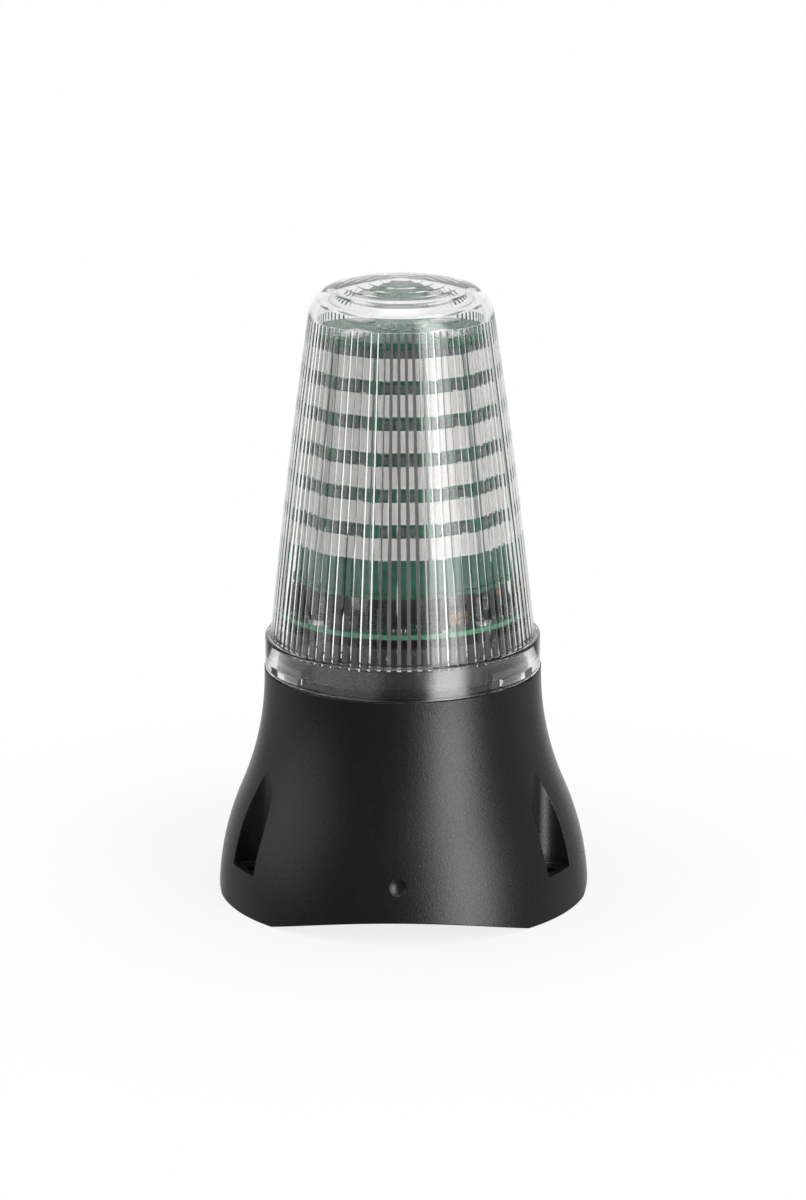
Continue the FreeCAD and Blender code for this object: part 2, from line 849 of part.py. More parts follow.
def slider_ways_x():
    return [(k - (switch_ways - 1) / 2) * switch_pitch for k in range(switch_ways)]


def slider_rest_y():
    """Rest place of a slider: the end of its slot nearest the tower."""
    return board_edge_part_y(switch_depth) + slider_travel / 2


def tone_switch():
    """Slide-switch block at the +X edge, with a slot for each slider."""
    y = board_edge_part_y(switch_depth)
    length = (switch_ways - 1) * switch_pitch + slider_width + 2 * switch_end
    top = board_top + switch_height
    block = box(length, switch_depth, board_top, top, 0, y)
    slot_length = slider_length + slider_travel + 2 * slider_clearance
    slot_bottom = top - slider_sink - slider_clearance
    slot_width = slider_width + 2 * slider_clearance
    slots = [box(slot_width, slot_length, slot_bottom, top, x, y) for x in slider_ways_x()]
    return turned(block.cut(slots), 90.0)


def tone_slider(x):
    top = board_top + switch_height
    slider = box(slider_width, slider_length, top - slider_sink, top + slider_rise, x, slider_rest_y())
    return turned(slider, 90.0)


def volume_trimmer():
    """Adjuster body with a round seat for its rotor in the face towards the rim."""
    face = -trimmer_radius - trimmer_depth / 2
    body = box(trimmer_size, trimmer_depth, board_top, board_top + trimmer_size, 0, -trimmer_radius)
    seat = Part.makeCylinder(rotor_diameter / 2 + rotor_clearance, rotor_sink + rotor_clearance,
                             vec(0, face, board_top + trimmer_size / 2), vec(0, 1, 0))
    return turned(body.cut(seat), trimmer_azimuth)


def volume_rotor():
    """Slotted rotor of the adjuster."""
    face = -trimmer_radius - trimmer_depth / 2 - rotor_rise
    middle = board_top + trimmer_size / 2
    rotor = Part.makeCylinder(rotor_diameter / 2, rotor_sink + rotor_rise, vec(0, face, middle), vec(0, 1, 0))
    half_slot = rotor_slot / 2
    slot = box(rotor_diameter, rotor_slot, middle - half_slot, middle + half_slot, 0, face + half_slot)
    return turned(rotor.cut(slot), trimmer_azimuth)


def power_inductor():
    """Square shielded coil with cut corners."""
    half = inductor_size / 2
    near = half - inductor_chamfer
    corners = [(half, near), (near, half), (-near, half), (-half, near),
               (-half, -near), (-near, -half), (near, -half), (half, -near)]
    points = [vec(x, y - inductor_radius, board_top) for x, y in corners]
    coil = Part.Face(Part.makePolygon(points + [points[0]])).extrude(vec(0, 0, inductor_height))
    return turned(coil, inductor_azimuth)


def power_capacitors():
    can = cylinder(capacitor_diameter / 2, board_top, board_top + capacitor_height, 0, -capacitor_radius)
    return [turned(can, azimuth) for azimuth in capacitor_azimuths]


def driver_chips():
    chip = box(chip_width, chip_depth, board_top, board_top + chip_height, 0, -chip_radius)
    return [turned(chip, azimuth) for azimuth in chip_azimuths]


def build():
    os.makedirs("parts", exist_ok=True)
    save("base_housing", base_housing())
    save("base_cover", base_cover())
    save("cover_gasket", cover_gasket())
    save("cover_screws", cover_screws())
    save("cable_grommet", cable_grommet())
    save("sounder_body", sounder_body())
    save("sounder_diaphragm", sounder_diaphragm())
    save("piezo_disc", piezo_disc())
    save("sounder_clamp", sounder_clamp())
    save("sounder_screws", sounder_screws())
    save("sounder_leads", sounder_leads())
    save("control_board", control_board())
    save("board_screws", board_screws())
    for k in range(tower_sides):
        azimuth = 360.0 * k / tower_sides
        save("led_board_%d" % (k + 1), turned(led_board(), azimuth))
        save("side_leds_%d" % (k + 1), [turned(led, azimuth) for led in side_leds()])
    save("foot_board", foot_board())
    save("top_board", top_board())
    save("top_leds", top_leds())
    save("board_headers", board_headers())
    save("terminal_block", terminal_block())
    save("terminal_screws", terminal_screws())
    save("tone_switch", tone_switch())
    for k, x in enumerate(slider_ways_x()):
        save("tone_slider_%d" % (k + 1), tone_slider(x))
    save("volume_trimmer", volume_trimmer())
    save("volume_rotor", volume_rotor())
    save("power_inductor", power_inductor())
    save("power_capacitors", power_capacitors())
    save("driver_chips", driver_chips())
    save("lens_seal", lens_seal())
    save("lens", lens())


build()
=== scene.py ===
import json
import math

import bmesh
import bpy
from bpy.props import FloatProperty, FloatVectorProperty, IntProperty, PointerProperty
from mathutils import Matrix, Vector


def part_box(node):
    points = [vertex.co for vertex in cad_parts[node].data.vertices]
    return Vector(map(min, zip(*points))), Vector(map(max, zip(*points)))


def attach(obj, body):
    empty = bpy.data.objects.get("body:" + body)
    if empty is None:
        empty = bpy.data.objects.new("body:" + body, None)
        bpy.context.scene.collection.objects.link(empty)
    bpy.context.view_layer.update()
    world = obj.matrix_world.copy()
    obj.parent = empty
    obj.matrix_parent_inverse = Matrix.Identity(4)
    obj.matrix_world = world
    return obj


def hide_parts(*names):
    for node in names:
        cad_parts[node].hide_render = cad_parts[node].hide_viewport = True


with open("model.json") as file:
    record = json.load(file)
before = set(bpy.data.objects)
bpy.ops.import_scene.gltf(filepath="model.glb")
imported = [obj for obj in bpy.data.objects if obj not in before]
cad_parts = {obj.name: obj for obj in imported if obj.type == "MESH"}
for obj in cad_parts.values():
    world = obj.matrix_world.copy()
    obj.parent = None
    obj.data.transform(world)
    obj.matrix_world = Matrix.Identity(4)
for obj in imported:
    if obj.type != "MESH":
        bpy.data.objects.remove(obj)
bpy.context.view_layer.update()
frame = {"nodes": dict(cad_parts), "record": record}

bl_info = {
    "name": "Sounder beacon",
    "version": (1, 0, 0),
    "blender": (4, 5, 0),
    "location": "View3D > Sidebar > Beacon",
    "description": "Models the lens, base and light tower of a sounder beacon on its CAD frame",
    "category": "Object",
}

MM = 0.001
# A place this close to a radius or a height is on it.
NEAR = 0.01 * MM
# Cosine past which a face looks along an axis.
FACING = 0.9
FLOOR_HEIGHT = -0.0002
# Upright boards of the tower, and azimuths in degrees of what repeats about the axis.
SIDES = 12
FEET = (60.0, 180.0, 300.0)
ARCHES = (0.0, 120.0, 240.0)
BOSSES = (45.0, 135.0, 225.0, 315.0)


def linear(hex_colour):
    """Linear RGBA of an sRGB hex colour."""
    channels = [int(hex_colour[i:i + 2], 16) / 255 for i in (1, 3, 5)]
    return tuple(c / 12.92 if c <= 0.04045 else ((c + 0.055) / 1.055) ** 2.4 for c in channels) + (1.0,)


def length(name, description, millimetres):
    """Property for a length."""
    return FloatProperty(name=name, description=description, default=millimetres * MM, unit="LENGTH",
                         precision=5, min=0.0)


def colour(name, description, hex_colour):
    """Property for a colour."""
    return FloatVectorProperty(name=name, description=description, default=linear(hex_colour),
                               subtype="COLOR", size=4, min=0.0, max=1.0)


def angle(name, description, degrees):
    """Property for an angle."""
    return FloatProperty(name=name, description=description, default=math.radians(degrees), subtype="ANGLE")


def power(name, description, watts):
    """Property for the power of a lamp."""
    return FloatProperty(name=name, description=description, default=watts, unit="POWER", min=0.0)


class BeaconLensSizes(bpy.types.PropertyGroup):
    """Sizes of the clear lens."""
    bottom: length("Bottom", "Height of the foot of the lens", 77.3)
    flange_radius: length("Flange radius", "Outside radius of the flange", 46.0)
    flange_top: length("Flange top", "Height of the top of the flange", 88.3)
    flange_round: length("Flange rounding", "Radius of the flange's upper edge", 0.8)
    bore: length("Bore", "Inside radius of the flange's foot", 43.6)
    step_height: length("Step height", "Height where the bore steps in", 80.6)
    step: length("Step", "Width of the step in the bore", 1.0)
    foot_radius: length("Foot radius", "Outside radius of the wall above the flange", 44.1)
    top_radius: length("Top radius", "Outside radius at the top of the wall", 30.5)
    wall_top: length("Wall top", "Height of the top of the wall", 196.5)
    wall: length("Wall", "Thickness of the wall between ribs", 2.3)
    bulge: length("Bulge", "Swell of the wall at half height", 0.65)
    corner: length("Corner", "Radius of the round corner below the dome", 10.9)
    dome_radius: length("Dome radius", "Radius of the flat dome", 87.0)
    dome_thickness: length("Dome thickness", "Thickness of the dome and its corner", 2.9)
    rib_count: IntProperty(name="Ribs", description="Upright prism ribs inside the wall", default=80, min=3)
    rib_bottom: length("Rib foot", "Height where the ribs start", 86.5)
    rib_top: length("Rib top", "Height where the ribs end", 195.2)
    rib_land: length("Rib land", "Width of the land above the ribs", 0.2)
    ring_count: IntProperty(name="Rings", description="Ring steps under the dome", default=7, min=1)
    ring_first: length("First ring", "Radius of the innermost ring step", 3.6)
    ring_pitch: length("Ring pitch", "Distance between ring steps", 3.73)
    ring_drop: length("Ring drop", "Height of each ring step", 0.7)
    lug_reach: length("Lug reach", "Inside radius of the bayonet lugs", 40.0)
    lug_low: length("Lug underside", "Height of the underside of the lugs", 77.9)
    lug_high: length("Lug top", "Height of the top of the lugs", 80.1)


class BeaconBaseSizes(bpy.types.PropertyGroup):
    """Sizes of the black base."""
    root_radius: length("Root radius", "Radius of the flare below the floor", 62.55)
    root_drop: length("Root drop", "How far below the floor the flare is upright", 3.0)
    turn_height: length("Turn height", "Height where the flare turns from outward to inward", 34.6)
    neck_radius: length("Neck radius", "Radius of the neck under the lens", 46.3)
    flare_top: length("Flare top", "Height where the neck starts", 75.0)
    height: length("Height", "Height of the shoulder that carries the lens", 77.0)
    wall: length("Wall", "Thickness of the skirt and the chamber", 3.0)
    knee_height: length("Knee height", "Height of the bend inside the skirt", 26.0)
    gap_top: length("Gap top", "Height where skirt and chamber meet", 50.546)
    chamber_floor: length("Chamber floor", "Height of the chamber's lower edge", 9.0)
    collar_radius: length("Collar radius", "Outside radius of the collar inside the lens", 39.7)
    collar_bore: length("Collar bore", "Inside radius of the collar", 37.2)
    collar_top: length("Collar top", "Height of the top of the collar", 93.5)
    lug_reach: length("Lug reach", "Outside radius of the collar's bayonet lugs", 42.2)
    lug_low: length("Lug underside", "Height of the underside of the collar's lugs", 80.4)
    lug_high: length("Lug top", "Height of the top of the collar's lugs", 82.8)
    seal_inner: length("Groove inside", "Inner radius of the seal groove", 44.0)
    seal_outer: length("Groove outside", "Outer radius of the seal groove", 45.6)
    boss_radius: length("Boss radius", "Radius of the bosses that carry the board", 3.6)
    boss_circle: length("Boss circle", "Distance of the bosses from the axis", 36.0)
    boss_top: length("Boss top", "Height of the top of the bosses", 96.5)
    pocket_width: length("Pocket width", "Width of the screw pockets", 14.8)
    pocket_circle: length("Pocket circle", "Distance of the pockets' round back from the axis", 57.702)
    pocket_floor: length("Pocket floor", "Height of the floor of the pockets", 14.2)
    pocket_wall: length("Pocket wall", "Wall round the pockets", 2.5)
    hole_radius: length("Hole radius", "Radius of the fixing holes", 2.65)
    hole_circle: length("Hole circle", "Distance of the fixing holes from the axis", 56.002)
    arch_rise: length("Arch rise", "Height of the arches between the feet", 7.2)
    arch_half_span: length("Arch half span", "Half the width of an arch", 42.386)
    dimple_radius: length("Dimple radius", "Radius of the moulding gate's dimple", 2.75)
    dimple_depth: length("Dimple depth", "Depth of the moulding gate's dimple", 0.9)
    dimple_height: length("Dimple height", "Height of the moulding gate's dimple", 19.5)


class BeaconTowerSizes(bpy.types.PropertyGroup):
    """Sizes of the light tower and of the parts on its boards."""
    foot: length("Foot", "Height of the foot of the upright boards", 110.7)
    height: length("Height", "Height of the upright boards", 79.4)
    foot_apothem: length("Foot apothem", "Distance of the boards' faces from the axis at the foot", 34.7)
    top_apothem: length("Top apothem", "Distance of the boards' faces from the axis at the top", 26.1)
    thickness: length("Board thickness", "Thickness of the boards", 1.6)
    corner_gap: length("Corner gap", "Gap between neighbouring boards", 0.2)
    rows: IntProperty(name="Rows", description="Rows of light bars", default=6, min=1)
    row_pitch: length("Row pitch", "Height between rows", 11.57)
    row_margin: length("Row margin", "Height between the top row and the top of the boards", 3.4)
    bar_height: length("Bar height", "Height of a light bar", 7.1)
    bar_thickness: length("Bar thickness", "Thickness of a light bar", 1.0)
    bar_margin: length("Bar margin", "Gap between a bar and the edge of its board", 0.15)
    top_face: length("Top face", "Height of the face of the top board", 191.7)
    top_size: length("Top light size", "Side of a light on the top board", 7.2)
    top_circle: length("Top circle", "Distance of the top lights from the axis", 20.0)
    board_top: length("Board top", "Height of the face of the control board", 98.1)
    board_radius: length("Board radius", "Radius of the control board", 39.2)


class BeaconFinishes(bpy.types.PropertyGroup):
    """Colours of the finishes."""
    housing: colour("Housing", "Black moulded base", "#121110")
    lens: colour("Lens", "Clear polycarbonate", "#fbfbfc")
    mask: colour("Board", "Green solder mask", "#0c5a3c")
    laminate: colour("Board edge", "Cut edge of the boards", "#4f9f78")
    light_body: colour("Light package", "White reflector body of the lights", "#e8e8e6")
    phosphor: colour("Phosphor", "Pale phosphor in the lights", "#e4e2da")
    component: colour("Component", "Black bodies of switch, block and chips", "#1d1d1e")
    slider: colour("Slider", "Amber sliders of the tone switch", "#d08a2c")


class BeaconStageSettings(bpy.types.PropertyGroup):
    """Camera and light."""
    distance: length("Camera distance", "Distance from the point looked at", 1300.0)
    azimuth: angle("Camera azimuth", "Angle of the camera about the object, from the front", 1.6)
    pitch: angle("Camera pitch", "Angle that the camera looks down", 15.37)
    roll: angle("Camera roll", "Tilt of the camera", -0.235)
    look_height: length("Look height", "Height of the point looked at", 99.1)
    focal_length: FloatProperty(name="Focal length", description="Lens of the camera in millimetres",
                                default=116.97, unit="CAMERA", min=1.0)
    side_shift: FloatProperty(name="Shift", description="Sideways shift as a share of the frame's height",
                              default=0.49 / 1200, precision=6)
    key_power: power("Key power", "Power of the right softbox", 20.0)
    fill_power: power("Fill power", "Power of the left softbox", 3.2)
    top_power: power("Top power", "Power of the softbox overhead", 6.0)


def activate(piece):
    """Makes a piece the only selected and the active object."""
    bpy.ops.object.select_all(action="DESELECT")
    piece.select_set(True)
    bpy.context.view_layer.objects.active = piece


def rename(piece, name):
    """Names a piece and its mesh."""
    piece.name = name
    piece.data.name = name
    return piece


def new_piece(name):
    """Names the primitive that was just added and puts its place into its mesh."""
    bpy.ops.object.transform_apply(location=True, rotation=True, scale=True)
    return rename(bpy.context.object, name)


def set_down(piece, place, turn=(0, 0, 0)):
    """Turns a piece and moves it to a place, both in its mesh."""
    activate(piece)
    piece.location = place
    piece.rotation_euler = turn
    bpy.ops.object.transform_apply(location=True, rotation=True, scale=False)
    return piece


def block(name, size, centre):
    """Starts a piece from a cuboid of a size about a centre."""
    bpy.ops.object.select_all(action="DESELECT")
    bpy.ops.mesh.primitive_cube_add(size=1, scale=size, location=centre)
    return new_piece(name)


def edit(piece, action="DESELECT"):
    """Opens a piece for editing with nothing selected, or everything."""
    activate(piece)
    bpy.ops.object.mode_set(mode="EDIT")
    bpy.ops.mesh.select_mode(type="VERT")
    bpy.ops.mesh.select_all(action=action)


def select_vertices(piece, test):
    """Selects the vertices of an open piece whose place passes a test."""
    bpy.ops.mesh.select_mode(type="VERT")
    bpy.ops.mesh.select_all(action="DESELECT")
    mesh = bmesh.from_edit_mesh(piece.data)
    for vertex in mesh.verts:
        vertex.select = test(vertex.co)
    mesh.select_flush(True)
    bmesh.update_edit_mesh(piece.data)


def select_faces(piece, test):
    """Selects the faces of an open piece whose middle and normal pass a test."""
    bpy.ops.mesh.select_mode(type="FACE")
    bpy.ops.mesh.select_all(action="DESELECT")
    mesh = bmesh.from_edit_mesh(piece.data)
    for face in mesh.faces:
        face.select = test(face.calc_center_median(), face.normal)
    mesh.select_flush(True)
    bmesh.update_edit_mesh(piece.data)


def cut_across(x):
    """Divides the open piece by an upright plane across the X axis."""
    bpy.ops.mesh.select_all(action="SELECT")
    bpy.ops.mesh.bisect(plane_co=(x, 0, 0), plane_no=(1, 0, 0))


def widen(share, height):
    """Scales what is selected about a place on the axis, without changing its height."""
    bpy.ops.transform.resize(value=(share, share, 1), center_override=(0, 0, height))


def smooth(piece, degrees):
    """Smooths a piece but for edges sharper than an angle."""
    activate(piece)
    bpy.ops.object.shade_smooth_by_angle(angle=math.radians(degrees))


def close_mesh(piece):
    """Merges doubles, points the faces outwards and smooths what isn't a sharp edge."""
    edit(piece, "SELECT")
    bpy.ops.mesh.remove_doubles(threshold=0.001 * MM)
    bpy.ops.mesh.normals_make_consistent(inside=False)
    bpy.ops.object.mode_set(mode="OBJECT")
    smooth(piece, 30)


def start_ring(name, point, segments):
    """Starts a turned piece with a ring, open for editing."""
    bpy.ops.object.select_all(action="DESELECT")
    bpy.ops.mesh.primitive_circle_add(vertices=segments, radius=point[0], location=(0, 0, point[1]))
    piece = new_piece(name)
    edit(piece, "SELECT")
    return piece


def draw_ring(profile):
    """Draws the selected ring along the (radius, height) points of a profile, the first being its own."""
    for (radius, height), (next_radius, next_height) in zip(profile, profile[1:]):
        bpy.ops.mesh.extrude_edges_move(TRANSFORM_OT_translate={"value": (0, 0, next_height - height)})
        if next_radius == 0:
            bpy.ops.mesh.merge(type="CENTER")
        elif next_radius != radius:
            widen(next_radius / radius, next_height)


def on_ring(co, radius, height):
    """Whether a place is on a ring about the axis."""
    return abs(co.z - height) < NEAR and abs(math.hypot(co.x, co.y) - radius) < NEAR


def arc(centre_radius, centre_height, radius, start, end, steps):
    """Profile points of an arc between two angles."""
    turns = [start + (end - start) * step / steps for step in range(steps + 1)]
    return [(centre_radius + radius * math.cos(t), centre_height + radius * math.sin(t)) for t in turns]


def turned_piece(name, profile, segments):
    """Closed piece turned from a profile that starts and ends on the axis."""
    first = profile[1]
    piece = start_ring(name, first, segments)
    draw_ring(profile[1:])
    select_vertices(piece, lambda co: on_ring(co, *first))
    draw_ring([first, profile[0]])
    bpy.ops.object.mode_set(mode="OBJECT")
    close_mesh(piece)
    return piece


def combine(piece, other, operation):
    """Cuts or joins another solid into a piece, and takes the other away."""
    activate(piece)
    modifier = piece.modifiers.new(operation.title(), "BOOLEAN")
    modifier.operation = operation
    modifier.solver = "EXACT"
    modifier.object = other
    bpy.ops.object.modifier_apply(modifier=modifier.name)
    bpy.data.objects.remove(other)


def placed_copy(piece, name, place, turn):
    """Copy of a piece with its own mesh, turned and moved to a place."""
    copy = piece.copy()
    copy.data = piece.data.copy()
    bpy.context.collection.objects.link(copy)
    return set_down(rename(copy, name), place, turn)


def turned_copy(piece, name, azimuth):
    """Copy of a piece with its own mesh, turned about the axis."""
    return placed_copy(piece, name, (0, 0, 0), (0, 0, math.radians(azimuth)))


def join(name, pieces):
    """Joins pieces into one."""
    activate(pieces[0])
    for piece in pieces[1:]:
        piece.select_set(True)
    if len(pieces) > 1:
        bpy.ops.object.join()
    return rename(pieces[0], name)


def ring_of(piece, name, azimuths):
    """Joined copies of a piece at azimuths about the axis, in place of the piece."""
    copies = [turned_copy(piece, name, azimuth) for azimuth in azimuths]
    bpy.data.objects.remove(piece)
    return join(name, copies)


def azimuth_of(co):
    """Azimuth of a place in degrees: 0 is the front and 90 is +X."""
    return math.degrees(math.atan2(co.x, -co.y)) % 360.0


def near_azimuth(co, middle, half):
    """Whether a place is within an angle of an azimuth."""
    return abs((azimuth_of(co) - middle + 180.0) % 360.0 - 180.0) < half


def tower_lean(sizes):
    """Angle that the upright boards lean in."""
    return math.atan((sizes.foot_apothem - sizes.top_apothem) / sizes.height)


def board_half_width(sizes, slant):
    """Half the width of an upright board at a distance up its face."""
    apothem = sizes.foot_apothem - slant * math.sin(tower_lean(sizes))
    return (apothem - sizes.thickness) * math.tan(math.pi / SIDES) - sizes.corner_gap


def leaned(piece, sizes):
    """Sets a piece that was drawn at the origin on the face of the front board."""
    return set_down(piece, (0, -sizes.foot_apothem, sizes.foot), (-tower_lean(sizes), 0, 0))


def connect(tree, node, links):
    """Links sockets, or the first outputs of nodes, to inputs of a node."""
    for name, source in links.items():
        if isinstance(source, bpy.types.Node):
            source = next(socket for socket in source.outputs if socket.enabled)
        tree.links.new(source, node.inputs[name])


def add_node(tree, kind, settings=None, values=None, links=None):
    """Adds a node, with its settings, the values of its sockets and the links into it."""
    node = tree.nodes.new(kind)
    for name, value in (settings or {}).items():
        setattr(node, name, value)
    for name, value in (values or {}).items():
        node.inputs[name].default_value = value
    connect(tree, node, links or {})
    return node


def new_material(name, values):
    """Material with its shader's values, and the object's coordinates."""
    material = bpy.data.materials.new(name)
    material.use_nodes = True
    tree = material.node_tree
    shader = tree.nodes["Principled BSDF"]
    for key, value in values.items():
        shader.inputs[key].default_value = value
    place = add_node(tree, "ShaderNodeTexCoord").outputs["Object"]
    return material, tree, shader, place


def shade(base, factor, lift=0.0):
    """Darker or paler tone of a colour."""
    return tuple(min(1.0, factor * c + lift) for c in base[:3]) + (1.0,)


def moulded_abs(base):
    """Black ABS from a spark-eroded mould: dull, with a fine sparkle in its highlights."""
    material, tree, shader, place = new_material(
        "abs_spark_texture", {"Base Color": base, "IOR": 1.53, "Specular IOR Level": 0.7})
    # Grains of 0.45 mm are drawn a little coarser than the real ones, so that they show.
    grain = add_node(tree, "ShaderNodeTexNoise", values={"Scale": 1 / (0.45 * MM), "Detail": 2.0},
                     links={"Vector": place})
    # The black drifts a little over clouds of 14 mm.
    cloud = add_node(tree, "ShaderNodeTexNoise", values={"Scale": 1 / (14 * MM), "Detail": 3.0},
                     links={"Vector": place})
    tint = add_node(tree, "ShaderNodeMix", {"data_type": "RGBA"},
                    {"A": shade(base, 0.82), "B": shade(base, 1.2)}, {"Factor": cloud})
    rough = add_node(tree, "ShaderNodeMapRange", links={"Value": grain},
                     values={"From Min": 0.3, "From Max": 0.7, "To Min": 0.25, "To Max": 0.37})
    edge = add_node(tree, "ShaderNodeBevel", {"samples": 6}, {"Radius": 0.5 * MM})
    bump = add_node(tree, "ShaderNodeBump", values={"Strength": 0.8, "Distance": 0.1 * MM},
                    links={"Height": grain, "Normal": edge})
    connect(tree, shader, {"Base Color": tint, "Roughness": rough, "Normal": bump})
    return material


def clear_polycarbonate(base):
    """Clear polycarbonate from a polished mould: bright and glassy, with a faint waviness in its skin."""
    values = {"Base Color": base, "IOR": 1.585, "Roughness": 0.0, "Transmission Weight": 1.0}
    material, tree, shader, place = new_material("polycarbonate_clear", values)
    # Flow waves of 9 mm.
    wave = add_node(tree, "ShaderNodeTexNoise", values={"Scale": 1 / (9 * MM), "Detail": 1.0},
                    links={"Vector": place})
    bump = add_node(tree, "ShaderNodeBump", values={"Strength": 0.1, "Distance": 0.004 * MM},
                    links={"Height": wave})
    connect(tree, shader, {"Normal": bump})
    return material


def solder_mask(mask, laminate, rim):
    """Glass-epoxy board under green lacquer: tracks show paler through it, and cut edges are milky."""
    material, tree, shader, place = new_material("fr4_solder_mask", {"Base Color": mask, "IOR": 1.5})
    # Tracks about 0.6 mm wide are drawn as the edges of cells of 3.2 mm.
    cells = add_node(tree, "ShaderNodeTexVoronoi", {"feature": "DISTANCE_TO_EDGE"},
                     {"Scale": 1 / (3.2 * MM)}, {"Vector": place})
    tracks = add_node(tree, "ShaderNodeMapRange", links={"Value": cells},
                      values={"From Min": 0.05, "From Max": 0.1, "To Min": 1.0, "To Max": 0.0})
    copper = add_node(tree, "ShaderNodeMix", {"data_type": "RGBA"},
                      {"A": mask, "B": shade(mask, 1.6, 0.01)}, {"Factor": tracks})
    # The cut edge is what lies at the rim of the round board.
    flat = add_node(tree, "ShaderNodeVectorMath", {"operation": "MULTIPLY"}, {1: (1, 1, 0)}, {0: place})
    reach = add_node(tree, "ShaderNodeVectorMath", {"operation": "LENGTH"}, links={0: flat})
    edge = add_node(tree, "ShaderNodeMath", {"operation": "GREATER_THAN"}, {1: rim - 0.1 * MM}, {0: reach})
    skin = add_node(tree, "ShaderNodeMix", {"data_type": "RGBA"}, {"B": laminate},
                    {"A": copper, "Factor": edge})
    rough = add_node(tree, "ShaderNodeMapRange", values={"To Min": 0.32, "To Max": 0.25},
                     links={"Value": tracks})
    bump = add_node(tree, "ShaderNodeBump", values={"Strength": 0.6, "Distance": 0.05 * MM},
                    links={"Height": tracks})
    connect(tree, shader, {"Base Color": skin, "Roughness": rough, "Normal": bump})
    return material


def grained(name, base, spread, roughness, grain, depth, values=None):
    """Finish with a grain: its colour, roughness and skin vary over grains of a size in millimetres."""
    settings = {"Base Color": base, "Roughness": roughness}
    settings.update(values or {})
    material, tree, shader, place = new_material(name, settings)
    noise = add_node(tree, "ShaderNodeTexNoise", values={"Scale": 1 / (grain * MM), "Detail": 4.0},
                     links={"Vector": place})
    tint = add_node(tree, "ShaderNodeMix", {"data_type": "RGBA"},
                    {"A": shade(base, 1 - spread), "B": shade(base, 1 + spread)}, {"Factor": noise})
    rough = add_node(tree, "ShaderNodeMapRange", links={"Value": noise},
                     values={"To Min": 0.8 * roughness, "To Max": min(1.0, 1.2 * roughness)})
    bump = add_node(tree, "ShaderNodeBump", values={"Strength": 0.5, "Distance": depth * MM},
                    links={"Height": noise})
    connect(tree, shader, {"Base Color": tint, "Roughness": rough, "Normal": bump})
    return material


def paint(piece, *materials):
    """Gives a piece its materials, one for each of its slots."""
    piece.data.materials.clear()
    for material in materials:
        piece.data.materials.append(material)


def paint_faces(piece, slot, test):
    """Gives faces of an open piece the material of another slot."""
    select_faces(piece, test)
    piece.active_material_index = slot
    bpy.ops.object.material_slot_assign()


def dress(piece, body, slot, *nodes):
    """Makes a piece ride on a body and hides the CAD nodes that it stands for; its record slot is not used.
    """
    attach(piece, body)
    if nodes:
        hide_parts(*nodes)


